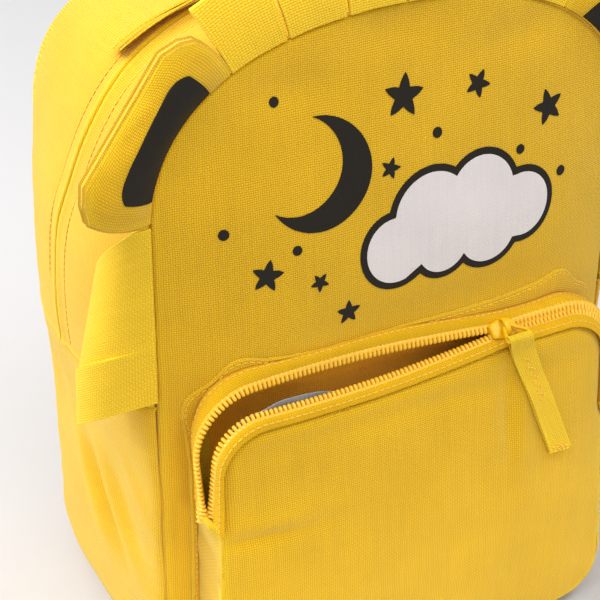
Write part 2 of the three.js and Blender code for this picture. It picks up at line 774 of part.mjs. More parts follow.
function addPocketPull() {
  const middle = (run) => trackPoint(run, UPPER_SHARE).lerp(trackPoint(run, LOWER_SHARE), 0.5);
  const { run, lean, length } = POCKET_PULL;
  const STEP = 0.02;
  const along = middle(run + STEP).sub(middle(run - STEP));
  const slider = placeGroup(middle(run), along, new THREE.Vector3(0, -0.6, 0.8));
  const shape = sliderGeometry({ ...POCKET_SLIDER, bridgeTurn: Math.PI / 2 });
  slider.add(addPart("pocket_slider", shape, PAINTED));

  const underBridge = (BRIDGE_RADIUS - BRIDGE_WIRE) / 2;
  const eye = new THREE.Vector3(0, 0, CHANNEL + SLIDER_PLATE + underBridge - GAP / 2);
  const lying = new THREE.Vector3(0.25, -0.8, -0.35).normalize();
  const start = slider.localToWorld(eye).addScaledVector(lying, -RING.wire / 2);
  const ring = placeGroup(start, lying, new THREE.Vector3(0, -0.35, 0.8));
  ring.add(addPart("pocket_pull_ring", ringGeometry(RING), PAINTED));

  const bar = ring.localToWorld(new THREE.Vector3(RING.length + GAP, 0, 0));
  const SETTLED = 0.3; // share of the tape's length after which it lies on the pocket
  const surface = (u, v) => {
    const down = length * v * Math.cos(Math.atan(lean));
    const across = (u - 0.5) * PULL_WIDTH;
    const x = bar.x + lean * down + across;
    const z = bar.z - down + lean * across;
    const face = pocketFace(x / heelWidth(z), pocketShare(x / heelWidth(z), z)).y;
    const settle = THREE.MathUtils.smoothstep(v, 0, SETTLED);
    return new THREE.Vector3(x, lerp(bar.y, face - FACE_GAP - PULL_THICK, settle), z);
  };
  addPart("pocket_pull", wall(surface, 2, 8, PULL_THICK), BRIGHT);
}

// A slider of the main zip, with its tape lying along the band to the left or the right.
function addMainPull({ label, run, side }) {
  const share = overTop(crossShare, run);
  const depth = zipDepth(onOutline(frontOutline, share).z);
  const shareOf = (mm) => overTop(crossShare, run + (side * mm) / zipBandLength);
  const at = (mm, off, raise) => bandPoint(shareOf(mm), depth + off / DEPTH, raise);
  const seat = at(0, 0, 0);
  const along = at(1, 0, 0).sub(at(-1, 0, 0));
  const up = at(0, 0, 1).sub(seat).normalize();
  const slider = placeGroup(seat.addScaledVector(up, GAP - CHANNEL), along, up);
  const shape = sliderGeometry({ ...MAIN_SLIDER, bridgeTurn: 0 });
  slider.add(addPart(`main_slider_${label}`, shape, PAINTED));

  const start = BRIDGE_RADIUS + GAP;
  const surface = (u, v) => {
    const off = (u - 0.5) * PULL_WIDTH + PULL_DRIFT * v * v;
    const raise = lerp(SLIDER_PLATE + 2 * FACE_GAP, FACE_GAP, v ** 0.5);
    return at(start + PULL_LENGTH * v, off, raise);
  };
  addPart(`main_pull_${label}`, wall(surface, 1, 10, side * PULL_THICK), BRIGHT);
}

// A ribbon of cloth or webbing along a curve.
function ribbon(curve, widthAt, acrossAt) {
  return (u, v) => curve.getPoint(v).addScaledVector(acrossAt(v), (u - 0.5) * widthAt(v));
}

// A ladder adjuster: an upright frame with three bars, its top edge at the origin.
function adjusterGeometry() {
  const { width, height, side, slots } = ADJUSTER;
  const frame = new THREE.Shape();
  frame.moveTo(-width / 2, 0);
  frame.lineTo(-width / 2, -height);
  frame.lineTo(width / 2, -height);
  frame.lineTo(width / 2, 0);
  for (const slot of slots) {
    const hole = new THREE.Path();
    const half = width / 2 - side;
    hole.moveTo(-half, -slot.top);
    hole.lineTo(half, -slot.top);
    hole.lineTo(half, -slot.bottom);
    hole.lineTo(-half, -slot.bottom);
    frame.holes.push(hole);
  }
  const depth = ADJUSTER.thick;
  return new THREE.ExtrudeGeometry(frame, { depth, bevelEnabled: false })
    .translate(0, 0, -depth / 2);
}

// A shoulder strap behind the bag: pad, adjuster, webbing and the corner piece that holds it.
function addStrap(side) {
  const label = side < 0 ? "left" : "right";
  const behind = BACK + BACK_PAD;
  const place = (row) => new THREE.Vector3(side * row.x, behind + row.behind, row.z);
  const line = new THREE.CatmullRomCurve3(STRAP_LINE.map(place));
  const backward = new THREE.Vector3(0, 1, 0);
  const across = (v) => line.getTangent(v).cross(backward).normalize();
  const width = (v) => lerp(STRAP_WIDTH, STRAP_END_WIDTH, v ** 3);
  addPart(`strap_pad_${label}`, wall(ribbon(line, width, across), 3, 14, STRAP_PAD), YELLOW);

  const down = line.getTangent(1);
  const sideways = across(1).negate();
  const outward = sideways.clone().cross(down.clone().negate()).normalize();
  const foot = line.getPoint(1).addScaledVector(outward, -STRAP_PAD / 2);
  const local = (below, out) =>
    foot.clone().addScaledVector(down, below).addScaledVector(outward, out);
  const group = placeGroup(local(GAP, 0), sideways, outward);
  group.add(addPart(`strap_adjuster_${label}`, adjusterGeometry(), BRIGHT));

  const bend = (ADJUSTER.slots[0].bottom + ADJUSTER.slots[1].top) / 2 - 2 * GAP;
  const turn = ADJUSTER.thick / 2 + GAP + WEBBING; // radius of the webbing around the bar
  const turns = [-60, -30, 0, 30, 60].map((degrees) => {
    const angle = THREE.MathUtils.degToRad(degrees);
    return local(bend - turn * Math.cos(angle), -turn * Math.sin(angle));
  });
  const PAST_BAR = 2;
  const PAST_FRAME = { below: 5, out: 0.8 };
  const HANGING = 30; // last straight length of the free end
  const route = [
    place(WEB_TAIL),
    place({ ...WEB_TAIL, z: WEB_TAIL.z + HANGING }),
    local(ADJUSTER.height + PAST_FRAME.below, turn + PAST_FRAME.out),
    local(bend + PAST_BAR, turn),
    ...turns,
    local(bend + PAST_BAR, -turn),
    local(ADJUSTER.height + PAST_FRAME.below, -turn - PAST_FRAME.out),
    ...WEB_FOOT.map(place),
  ];
  const web = ribbon(new THREE.CatmullRomCurve3(route), () => WEB_WIDTH, () => sideways);
  addPart(`strap_web_${label}`, wall(web, 1, 30, WEBBING), BRIGHT);

  const corner = new THREE.Shape();
  CORNER_PIECE.forEach((row, i) => {
    if (i === 0) corner.moveTo(side * row.x, row.z);
    else corner.lineTo(side * row.x, row.z);
  });
  const piece = new THREE.ExtrudeGeometry(corner, { depth: CLOTH, bevelEnabled: false });
  piece.rotateX(Math.PI / 2).translate(0, behind + GAP + CLOTH, 0);
  addPart(`strap_corner_${label}`, piece, YELLOW);
}

// The hand loop: webbing whose feet lie on the band behind the zip.
function addHandle() {
  const rise = column(HANDLE_RISE, "run", "up");
  const half = (HANDLE_WIDTH / 2) / DEPTH;
  const from = 1 - seamShare(HANDLE_SPAN / 2);
  const surface = (u, v) =>
    bandPoint(overTop(from, v), lerp(HANDLE_DEPTH - half, HANDLE_DEPTH + half, u), rise(v));
  addPart("grab_handle", wall(surface, 3, 18, WEBBING), BRIGHT);
}

addBody();
addPocket();
addPocketPull();
addEar("ear_left", -1);
addEar("ear_right", 1);
addTabs();
MAIN_PULLS.forEach(addMainPull);
addHandle();
addStrap(-1);
addStrap(1);

// The origin is under the middle of the whole bag, on the floor.
const box = new THREE.Box3().setFromObject(bag);
bag.position.set(-(box.min.x + box.max.x) / 2, -(box.min.y + box.max.y) / 2, -box.min.z);

export default bag;
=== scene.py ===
"""A child's backpack: cloth, webbing, zips and print, sewn around its frame.

Shapes are worked out in millimetres and turned into metres when a mesh is made.
"""

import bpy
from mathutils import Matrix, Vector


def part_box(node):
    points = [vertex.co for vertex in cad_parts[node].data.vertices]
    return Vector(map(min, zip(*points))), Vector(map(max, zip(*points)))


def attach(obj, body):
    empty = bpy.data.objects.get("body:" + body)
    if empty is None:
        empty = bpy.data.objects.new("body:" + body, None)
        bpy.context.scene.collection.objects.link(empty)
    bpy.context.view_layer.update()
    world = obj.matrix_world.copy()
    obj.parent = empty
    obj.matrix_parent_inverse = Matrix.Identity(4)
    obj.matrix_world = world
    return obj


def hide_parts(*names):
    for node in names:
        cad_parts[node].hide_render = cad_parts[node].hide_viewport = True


bl_info = {
    "name": "Child's Backpack",
    "version": (1, 0, 0),
    "blender": (4, 5, 0),
    "location": "3D View > Sidebar > Backpack",
    "description": "Sews the cloth, webbing, zips and print of a child's backpack",
    "category": "Mesh",
}

import math

import bmesh
import bpy
import numpy as np
from mathutils import Matrix, Vector
from mathutils.geometry import delaunay_2d_cdt

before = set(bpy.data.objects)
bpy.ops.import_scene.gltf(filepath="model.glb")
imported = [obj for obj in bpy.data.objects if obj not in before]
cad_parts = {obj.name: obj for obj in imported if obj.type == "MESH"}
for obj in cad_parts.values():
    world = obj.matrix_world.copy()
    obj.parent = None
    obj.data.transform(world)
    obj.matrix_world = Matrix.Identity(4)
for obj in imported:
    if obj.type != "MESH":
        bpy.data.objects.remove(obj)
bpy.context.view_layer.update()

MM = 0.001  # metres in a millimetre
BODY = "root"


def reach(node):
    """Lowest and highest corner of a node, in millimetres."""
    low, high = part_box(node)
    return np.array(low) / MM, np.array(high) / MM


# Body
CLOTH = 2.0  # wall of the cloth with its backing
SKIN = 1.5  # of that, what the sewn shells are made of
PANEL_LOW, PANEL_HIGH = reach("front_panel")
BACK_LOW, BACK_HIGH = reach("back_panel")
FRONT = PANEL_HIGH[1] - CLOTH  # plane of the front seam
BACK = BACK_LOW[1]  # plane of the back seam
BACK_FACE = BACK_HIGH[1]
DEPTH = BACK - FRONT
HALF = PANEL_HIGH[0]
BACK_HALF = BACK_HIGH[0]
SEAM_BASE = PANEL_LOW[2]
HEIGHT = PANEL_HIGH[2]
BACK_HEIGHT = BACK_HIGH[2]
CORNER_RADIUS = 28.0  # of the panels' lower corners
SHOULDER = 250.0  # height where the front panel's arch starts
BACK_SHOULDER = 252.0
ARCH_FULLNESS = 0.64  # nearer 1, the arch is squarer
BACK_FULLNESS = 0.72
BAND_FULLNESS = 0.45  # nearer 0, the band swells closer to its seams
BACK_CHANNELS = (-30, 30)  # stitched down the back, sideways
SEAM_GAP = 0.4  # between the band's cloth and the front and back seams
CROSS_GAP = 0.3  # of each band to the cross seam
CROSS_SEAM = 165.0  # height where the zip band meets the lower band
ZIP_SLIT = 0.9  # between the two cloth edges over the main zip
ZIP_BAND = 26.0  # width of the main zip's tape
ZIP_STITCH = 9.0  # stitch row beside the main zip

# Front pocket
POCKET_HALF = 102.5
POCKET_TOP = 166.5
POCKET_BASE = 4.0
POCKET_RADIUS = 25.0
POCKET_DEPTH = 29.0  # from the front seam to its edge
POCKET_HEEL = 8.0  # how much further its foot stands out than its top
POCKET_SPREAD = 5.0  # how much further its foot reaches to each side
POCKET_PUFF = 8.0  # how far its filled middle swells
POCKET_HEM = 0.4  # how far its front cloth ends below its edge
SEAM_DROP = 5.0  # how far below the stitched-down strip the zip is sewn on, at the right
FLANGE_END = 0.26  # share of the pocket's outline where that strip ends
ZIP_END = 114.0  # height of the zip's two ends
ZIP_SET_BACK = 6.0  # of the zip, from the edge of the pocket's front
CLOSED = 4.4  # distance of the two zip halves where it is closed
POCKET_Y = FRONT - POCKET_DEPTH
TRACK_Y = POCKET_Y + ZIP_SET_BACK
UPPER = (0.27, 0.34)  # share of the opening that a zip half moves out and back
LOWER = (-0.34, -0.16)
SAG = 0.46  # share of the opening by which the pocket's edge hangs down

# Ears and tabs
EAR_LOW = 254.0  # heights on the seam between which an ear is sewn in
EAR_HIGH = 311.5
EAR_HEIGHT = 35.0
EAR_TILT = 4.0  # how much shorter its upper side is
EAR_ROUND = 4.5  # how far its outer corners are rounded off
EAR_FLARE = 9.5  # how far its sides spread
EAR_CUP = 5.0  # how far the middle of its face swells
EAR_PAD = 8.0  # thickness of its middle, its rim and its foot
EAR_EDGE = 6.4
EAR_FOOT = 2.0
EAR_FACE = 0.8  # of the filling, what stands out in front
PATCH_MIDDLE = 0.495  # place of the patch along the ear's foot
PATCH_HALF = 0.345
PATCH_LOW = 0.015  # its ends by share of the ear's height
PATCH_HIGH = 0.66
TOP_TABS = 6
TOP_TAB_LENGTH = 29.0
TOP_TAB_LEAN = 9.0  # of its end, to the back
TAB_SPACE = 0.03  # left free at each side of a tab, as a share of its place
TAB_LAYER = 1.2  # one layer of the folded webbing
TAB_GAP = 0.5  # between its two layers

# Straps, handle and pulls
STRAP_WIDTH = 48.0
STRAP_END_WIDTH = 32.0
STRAP_PAD = 7.0  # thickness
WEB_WIDTH = 20.0
WEBBING = 1.4  # thickness
HANDLE_WIDTH = 22.0
HANDLE_SPAN = 120.0  # along the band, from end to end
HANDLE_DEPTH = 0.8  # place between the front seam, 0, and the back seam, 1
PULL_WIDTH = 12.5
PULL_LENGTH = 62.0  # of the main pulls
POCKET_PULL_LENGTH = 73.0
PULL_LEAN = 0.38  # of the pocket's pull, sideways for each millimetre down
PULL_DRIFT = 8.0  # of the main pulls' ends, to the back
PULL_LAYER = 0.85  # one layer of the doubled tape
PULL_TILT = math.radians(30)  # of the main pulls, front edge up
SLIDER_PLATE = 1.3  # thickness
SLIDER_RUN = 0.648  # place of the pocket's slider along its zip
CHANNEL = 2.4  # from a slider's middle to its plate
BRIDGE_RADIUS = 4.3

SIDES = {"left": -1, "right": 1}
FORWARD = np.array((0.0, -1.0, 0.0))
BEHIND = np.array((0.0, 1.0, 0.0))

# How far the front panel stands out, by share of its height.
FRONT_LIFT = ((0, 0), (0.08, 7), (0.3, 11.5), (0.6, 14), (0.78, 8.5), (0.9, 2.6), (1, 0))

# How far the side band stands out between its seams, by height.
BAND_BULGE = (
    (0, 9), (60, 9), (105, 9.5), (130, 11.5), (157, 15.5),
    (185, 17.5), (225, 16), (262, 8.5), (300, 5), (330, 6),
)

# Place of the main zip between the front seam, 0, and the back seam, 1, by height.
ZIP_LINE = ((150, 0.54), (225, 0.52), (275, 0.415), (315, 0.385), (332, 0.385))

# Wrinkles of the lower band: height and depth share of both ends, width, how far out.
BAND_FOLDS = (
    (128, 0.42, 46, 0.06, 7, 4.0),
    (132, 0.66, 40, 0.30, 8, 3.6),
    (120, 0.54, 52, 0.18, 6, -3.6),
    (158, 0.78, 96, 0.82, 14, -2.8),
    (136, 0.22, 92, 0.03, 5, 2.2),
    (118, 0.30, 70, 0.08, 5, -2.0),
)

# How wide the pocket zip stands open, along it.
ZIP_OPENING = (
    (0, 4.4), (0.06, 8), (0.157, 14), (0.294, 18), (0.431, 17),
    (0.539, 12), (0.617, 7), (0.647, 4.6), (0.706, 4.4), (1, 4.4),
)

# Width of the stitched-down strip around the pocket, along it.
FLANGE_WIDTH = (
    (0, 4), (0.27, 4.2), (0.295, 6.2), (0.317, 3.4), (0.339, 6.2), (0.364, 4), (0.5, 2.4),
    (0.636, 4), (0.661, 6.2), (0.683, 3.4), (0.705, 6.2), (0.73, 4.2), (1, 4),
)

# Side tabs: for each end its height on the seam, and how far it reaches out, back and down.
SIDE_TABS = {
    "upper": {"top": (252, 16, 17, 21), "bottom": (196, 25, 23, 17)},
    "lower": {"top": (196.2, 27, 21, 15), "bottom": (168, 29, 19, 14)},
}

# Centre line of a shoulder strap's outer face: sideways, behind the back panel, height.
STRAP_LINE = (
    (36, 7.5, 292), (38, 8.5, 276), (43, 19, 255), (51, 34, 222),
    (62, 42, 176), (71, 40, 134), (76, 34, 104),
)
# Likewise the webbing's loose end, and its sewn end's way to the corner piece.
WEB_TAIL = (79, 40, 26)
WEB_FOOT = ((84, 15, 56), (89, 3.5, 40), (91, 2.9, 26))
CORNER_PIECE = ((106, 22), (106, 62), (80, 44), (76, 30))  # sideways and height
CORNER_THICK = 2.4

# Height of the hand loop over the band, along it.
HANDLE_RISE = (
    (0, 1), (0.18, 1), (0.28, 7), (0.39, 20), (0.5, 25), (0.61, 20), (0.72, 7), (0.82, 1), (1, 1),
)


# Small helpers

def lerp(start, end, share):
    return start + (end - start) * share


def smoothstep(value, low=0.0, high=1.0):
    share = np.clip((value - low) / (high - low), 0, 1)
    return share * share * (3 - 2 * share)


def ridge(distance, width):
    """1 at no distance, fading softly over a width."""
    return np.exp(-((distance / width) ** 2))


def roll(distance, radius):
    """How far a folded edge has turned under, at a distance from its end."""
    left = radius - np.clip(distance, 0, radius)
    return radius - np.sqrt(np.maximum(radius**2 - left**2, 0))


def unit(vectors):
    return vectors / np.maximum(np.linalg.norm(vectors, axis=-1, keepdims=True), 1e-9)


def stack(*axes):
    return np.stack(np.broadcast_arrays(*axes), -1).astype(float)


def crowd(count, ends=0.6):
    """Even steps from 0 to 1 that draw together at both ends."""
    even = np.linspace(0, 1, count)
    return lerp(even, (1 - np.cos(np.pi * even)) / 2, ends)


def row_across(half, count):
    """A row of steps from -half to half that draw together at both ends."""
    return half * np.sin((np.linspace(0, 1, count) - 0.5) * np.pi)[None, :]


def ripple(a, b, wave, seed, waves=7):
    """Soft seeded waves over a surface, between about -1 and 1."""
    draw = np.random.default_rng(seed)
    total = 0.0
    for _ in range(waves):
        turn, start = draw.uniform(0, 2 * np.pi, 2)
        pace = 2 * np.pi / (wave * draw.uniform(0.7, 1.6))
        total = total + np.sin((a * np.cos(turn) + b * np.sin(turn)) * pace + start)
    return 2 * total / waves


def column(rows):
    """A smooth curve through a table of keys and values."""
    keys, values = np.array(rows, float).T
    secant = np.diff(values) / np.diff(keys)
    slopes = np.concatenate((secant[:1], (secant[:-1] + secant[1:]) / 2, secant[-1:]))

    def curve(at):
        at = np.clip(at, keys[0], keys[-1])
        k = np.clip(np.searchsorted(keys, at, side="right") - 1, 0, len(keys) - 2)
        step = keys[k + 1] - keys[k]
        t = (at - keys[k]) / step
        rise = (values[k + 1] - values[k]) * (3 * t**2 - 2 * t**3)
        leave = slopes[k] * step * (t**3 - 2 * t**2 + t)
        arrive = slopes[k + 1] * step * (t**3 - t**2)
        return values[k] + rise + leave + arrive

    return curve


def ring_angles(count):
    return 2 * np.pi * np.arange(count) / count


def lengths(line):
    """Length gone along a line of points, at each point."""
    steps = np.linalg.norm(np.diff(line, axis=0), axis=1)
    return np.concatenate(([0.0], np.cumsum(steps)))


def walk(line, at, gone=None):
    """Points at given lengths along a line."""
    gone = lengths(line) if gone is None else gone
    return np.stack([np.interp(at, gone, axis) for axis in line.T], -1)


def curve_through(points, count):
    """A smooth line through points, in even steps."""
    points = np.array(points, float)
    gone = lengths(points)
    at = np.linspace(0, gone[-1], 12 * len(points))
    fine = np.stack([column(list(zip(gone, axis)))(at) for axis in points.T], -1)
    return walk(fine, np.linspace(0, lengths(fine)[-1], count))


# Outlines

class Outline:
    """A mirrored outline, walked from its base's middle, 0, to its top's middle, 1 or -1."""

    def __init__(self, *stretches):
        line = np.concatenate(stretches)
        moved = np.linalg.norm(np.diff(line, axis=0), axis=1) > 1e-6
        self.line = line[np.concatenate(([True], moved))]
        gone = lengths(self.line)
        self.length = gone[-1]
        self.run = gone / self.length
        self.tangent = unit(np.gradient(self.line, gone, axis=0))

    def at(self, share):
        """x, z and the two parts of the outward direction."""
        side = np.where(np.asarray(share) < 0, -1.0, 1.0)
        run = np.minimum(np.abs(share), 1)
        columns = (*self.line.T, *self.tangent.T)
        x, z, along_x, along_z = (np.interp(run, self.run, axis) for axis in columns)
        return side * x, z, side * along_z, -along_x

    def share_at(self, z):
        return float(np.interp(z, self.line[:, 1], self.run))


def arc(x, z, radius, start, end):
    angle = np.radians(np.linspace(start, end, 60))
    return stack(x + radius * np.cos(angle), z + radius * np.sin(angle))


def arch_curve(half, shoulder, top, fullness):
    t = np.linspace(0, 1, 240)[:, None]
    a, b = np.array((half, shoulder)), np.array((half, lerp(shoulder, top, fullness)))
    c, d = np.array((fullness * half, top)), np.array((0, top))
    return (1 - t) ** 3 * a + 3 * (1 - t) ** 2 * t * b + 3 * (1 - t) * t**2 * c + t**3 * d


def arch_outline(half, shoulder, top, fullness):
    inner = half - CORNER_RADIUS
    return Outline(
        np.linspace((0, SEAM_BASE), (inner, SEAM_BASE), 60),
        arc(inner, SEAM_BASE + CORNER_RADIUS, CORNER_RADIUS, -90, 0),
        np.linspace((half, SEAM_BASE + CORNER_RADIUS), (half, shoulder), 120),
        arch_curve(half, shoulder, top, fullness),
    )


def box_outline(side, base, top):
    half, low, high = POCKET_HALF + side, POCKET_BASE + base, POCKET_TOP + top
    inner = half - POCKET_RADIUS
    return Outline(
        np.linspace((0, low), (inner, low), 60),
        arc(inner, low + POCKET_RADIUS, POCKET_RADIUS, -90, 0),
        np.linspace((half, low + POCKET_RADIUS), (half, high - POCKET_RADIUS), 120),
        arc(inner, high - POCKET_RADIUS, POCKET_RADIUS, 0, 90),
        np.linspace((inner, high), (0, high), 60),
    )


def over_top(start, k):
    """From the left share over the top to the right one."""
    k = np.asarray(k, float)
    return np.where(k < 0.5, -lerp(start, 1, 2 * k), lerp(start, 1, 2 * (1 - k)))


FRONT_OUTLINE = arch_outline(HALF, SHOULDER, HEIGHT, ARCH_FULLNESS)
BACK_OUTLINE = arch_outline(BACK_HALF, BACK_SHOULDER, BACK_HEIGHT, BACK_FULLNESS)
POCKET_ATTACH = box_outline(side=0.5, base=5, top=12.5)
POCKET_TRACK = box_outline(side=4, base=2, top=3)
POCKET_EDGE = box_outline(side=0, base=0, top=0)
CROSS_SHARE = FRONT_OUTLINE.share_at(CROSS_SEAM)
ZIP_SHARE = POCKET_TRACK.share_at(ZIP_END)

panel_lift = column(FRONT_LIFT)
band_bulge = column(BAND_BULGE)
zip_depth = column(ZIP_LINE)
zip_opening = column(ZIP_OPENING)
flange_width = column(FLANGE_WIDTH)
handle_rise = column(HANDLE_RISE)


# Surfaces

def panel_column(x, half=HALF, shoulder=SHOULDER, top=HEIGHT, fullness=ARCH_FULLNESS):
    """Base and top of a panel at x."""
    arch = arch_curve(half, shoulder, top, fullness)[::-1]
    past = np.maximum(np.abs(x) - (half - CORNER_RADIUS), 0)
    base = SEAM_BASE + CORNER_RADIUS - np.sqrt(np.maximum(CORNER_RADIUS**2 - past**2, 0))
    return base, np.interp(np.abs(x), arch[:, 0], arch[:, 1])


def side_fade(x, half):
    return 1 - np.minimum(np.abs(x) / half, 1) ** 4


# Soft dents of the front panel: x, z, width, height, how far in.
PANEL_DENTS = (
    (-2, 318, 26, 11, 2.2),
    (-52, 300, 24, 9, 1.4),
    (58, 304, 22, 9, 1.5),
    (-103, 158, 9, 26, 2.0),
    (-104, 100, 8, 30, 1.6),
    (30, 187, 60, 9, 1.6),
)


def panel_face(x, z):
    """Depth of the front panel at a place on it."""
    base, top = panel_column(x)
    share = np.clip((z - base) / np.maximum(top - base, 1), 0, 1)
    y = FRONT - panel_lift(share) * side_fade(x, HALF)
    for dent_x, dent_z, wide, high, deep in PANEL_DENTS:
        y = y + deep * ridge(x - dent_x, wide) * ridge(z - dent_z, high)
    return y + 0.35 * ripple(x, z, 46, 11)


def fold_height(z, v):
    height = 0.0
    for z0, v0, z1, v1, width, out in BAND_FOLDS:
        along_z, along_y = z1 - z0, (v1 - v0) * DEPTH
        length = math.hypot(along_z, along_y)
        from_z, from_y = z - z0, (v - v0) * DEPTH
        run = (from_z * along_z + from_y * along_y) / length**2
        off = (from_y * along_z - from_z * along_y) / length
        height = height + out * np.sin(np.pi * np.clip(run, 0, 1)) * ridge(off, width)
    return height


def band_point(share, v, lift=0.0):
    """A place on the band around the body; v runs from the front seam to the back one."""
    front_x, front_z, front_out_x, front_out_z = FRONT_OUTLINE.at(share)
    back_x, back_z, back_out_x, back_out_z = BACK_OUTLINE.at(share)
    z = lerp(front_z, back_z, v)
    edge = np.sin(np.pi * np.clip(v, 0, 1)) ** BAND_FULLNESS
    out = (band_bulge(z) + fold_height(z, v) * front_out_x**2) * edge + lift
    x = lerp(front_x, back_x, v) + lerp(front_out_x, back_out_x, v) * out
    z = np.maximum(z + lerp(front_out_z, back_out_z, v) * out, 0)
    return stack(x, lerp(FRONT, BACK, v), z)


def heel(z):
    return smoothstep(POCKET_TOP - z, 0, POCKET_TOP - POCKET_BASE)


def heel_width(z):
    return 1 + POCKET_SPREAD / POCKET_HALF * heel(z)


def pocket_y(z):
    return POCKET_Y - POCKET_HEEL * heel(z)


def edge_sag(run):
    return SAG * (zip_opening(run) - CLOSED)


RUNS = np.linspace(0, 1, 801)
EDGE_X, _, _, EDGE_OUT_Z = POCKET_EDGE.at(over_top(ZIP_SHARE, RUNS))
EDGE_DROP = edge_sag(RUNS) * np.maximum(EDGE_OUT_Z, 0)


def pocket_column(x):
    """Base and top of the pocket's front at x."""
    past = np.maximum(np.abs(x) - (POCKET_HALF - POCKET_RADIUS), 0)
    rise = POCKET_RADIUS - np.sqrt(np.maximum(POCKET_RADIUS**2 - past**2, 0))
    return POCKET_BASE + rise, POCKET_TOP - rise - np.interp(x, EDGE_X, EDGE_DROP)


# Soft creases of the pocket's front: x, z, width, height, how far in.
POCKET_CREASES = (
    (-92, 52, 22, 3.2, 1.2),
    (-88, 40, 26, 4.0, -0.7),
    (-84, 106, 24, 3.0, 1.7),
    (-80, 114, 26, 4.5, -0.8),
    (43, 130, 4.0, 22, 2.3),
    (52, 124, 5.5, 28, -1.2),
    (0, 148, 90, 5.0, 0.9),
)


def pocket_face(x, share):
    base, top = pocket_column(x)
    z = lerp(base, top, share)
    puff = POCKET_PUFF * np.sin(np.pi * np.clip(share, 0, 1)) ** 0.7 * side_fade(x, POCKET_HALF)
    y = pocket_y(z) - puff
    for crease_x, crease_z, wide, high, deep in POCKET_CREASES:
        y = y + deep * ridge(x - crease_x, wide) * ridge(z - crease_z, high)
    return stack(x * heel_width(z), y + 0.3 * ripple(x, z, 38, 23), z)


def pocket_depth(x, z):
    """Depth of the pocket's front at a place on it."""
    flat_x = x / heel_width(z)
    base, top = pocket_column(flat_x)
    return pocket_face(flat_x, np.clip((z - base) / (top - base), 0, 1))[..., 1]


def seam_drop(share):
    """How far below the pocket's strip its zip is sewn on, over the top."""
    x, _, _, out_z = POCKET_ATTACH.at(share)
    return lerp(-2, SEAM_DROP, smoothstep(x, -20, 70)) * smoothstep(out_z, 0.2, 0.9)


def attach_point(share, outward=0.0, lift=0.0):
    """A place on the front panel beside the pocket's seam."""
    x, z, out_x, out_z = POCKET_ATTACH.at(share)
    x, z = x + out_x * outward, z + out_z * outward
    return stack(x, panel_face(x, z) - lift, z)


def edge_point(share, sag):
    x, z, out_x, out_z = POCKET_EDGE.at(share)
    z = z - out_z * sag
    return stack((x - out_x * sag) * heel_width(z), pocket_y(z), z)


def track_point(run, half):
    """Where one half of the pocket's zip runs."""
    x, z, out_x, out_z = POCKET_TRACK.at(over_top(ZIP_SHARE, run))
    out, back = half
    opened = zip_opening(run)
    return stack(x + out_x * out * opened, TRACK_Y + back * opened, z + out_z * out * opened)


# Meshes

def make_mesh(name, points, faces, material, uv=None, wear_and_painted_light=None, crease=40):
    """A smooth mesh from points in millimetres, with its cloth lengths as a UV map.
    Its material is the name of a finish."""
    mesh = bpy.data.meshes.new(name)
    mesh.from_pydata((np.asarray(points) * MM).tolist(), [], [list(face) for face in faces])
    mesh.materials.append(finish(material))
    mesh.shade_smooth()
    mesh.set_sharp_from_angle(angle=math.radians(crease))
    if uv is not None:
        corner = np.empty(len(mesh.loops), int)
        mesh.loops.foreach_get("vertex_index", corner)
        layer = mesh.uv_layers.new(name="weave")
        layer.data.foreach_set("uv", (uv.reshape(-1, 2)[corner] * MM).ravel())
    # This attribute holds rubbed wear with a painted highlight above 0, and painted shade below 0.
    if wear_and_painted_light is not None:
        worn_and_lit = mesh.attributes.new("wear_and_painted_light", "FLOAT", "POINT")
        worn_and_lit.data.foreach_set("value", np.asarray(wear_and_painted_light, np.float32).ravel())
    mesh.update()
    return mesh


def add_piece(mesh, slot, *nodes):
    """Shows a mesh as a piece of the bag that stands for its nodes."""
    piece = bpy.data.objects.new(mesh.name, mesh)
    bpy.context.scene.collection.objects.link(piece)
    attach(piece, BODY)
    if nodes:
        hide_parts(*nodes)
    return piece


def grid_normals(points):
    return unit(np.cross(np.gradient(points, axis=1), np.gradient(points, axis=0)))


def thicken(points, thickness):
    """The same grid, moved against its normals."""
    return points - grid_normals(points) * thickness


def strip_uv(points):
    """Lengths along and across a grid of points."""
    across = lengths(points[len(points) // 2])
    steps = np.linalg.norm(np.diff(points, axis=0), axis=2)
    along = np.concatenate((np.zeros((1, points.shape[1])), np.cumsum(steps, axis=0)))
    return stack(across[None, :], along)


def inset(points, foot=True):
    """Distance of each point of a grid to its border, with or without its first row."""
    border = [points[-1], points[:, 0], points[:, -1]]
    if foot:
        border.append(points[0])
    nearest = np.full(points.shape[:2], np.inf)
    for corner in np.concatenate(border):
        nearest = np.minimum(nearest, np.linalg.norm(points - corner, axis=2))
    return nearest


def wall(name, outer, inner, material, uv=None, wear_and_painted_light=None):
    """A closed sheet between two grids of points, with its rim."""
    rows, columns = outer.shape[:2]
    count = rows * columns
    index = np.arange(count).reshape(rows, columns)
    front = np.stack((index[:-1, :-1], index[:-1, 1:], index[1:, 1:], index[1:, :-1]), -1)
    front = front.reshape(-1, 4)
    rim = np.concatenate((index[0, :-1], index[:-1, -1], index[-1, :0:-1], index[:0:-1, 0]))
    after = np.roll(rim, -1)
    edge = np.stack((after, rim, rim + count, after + count), -1)
    faces = np.concatenate((front, front[:, ::-1] + count, edge))
    if np.sum(grid_normals(outer) * (outer - inner)) < 0:
        faces = faces[:, ::-1]
    uv = strip_uv(outer) if uv is None else uv
    wear_and_painted_light = np.zeros((rows, columns)) if wear_and_painted_light is None else wear_and_painted_light
    points = np.concatenate((outer.reshape(-1, 3), inner.reshape(-1, 3)))
    uv, wear_and_painted_light = np.tile(uv.reshape(-1, 2), (2, 1)), np.tile(wear_and_painted_light.ravel(), 2)
    return make_mesh(name, points, faces, material, uv, wear_and_painted_light)


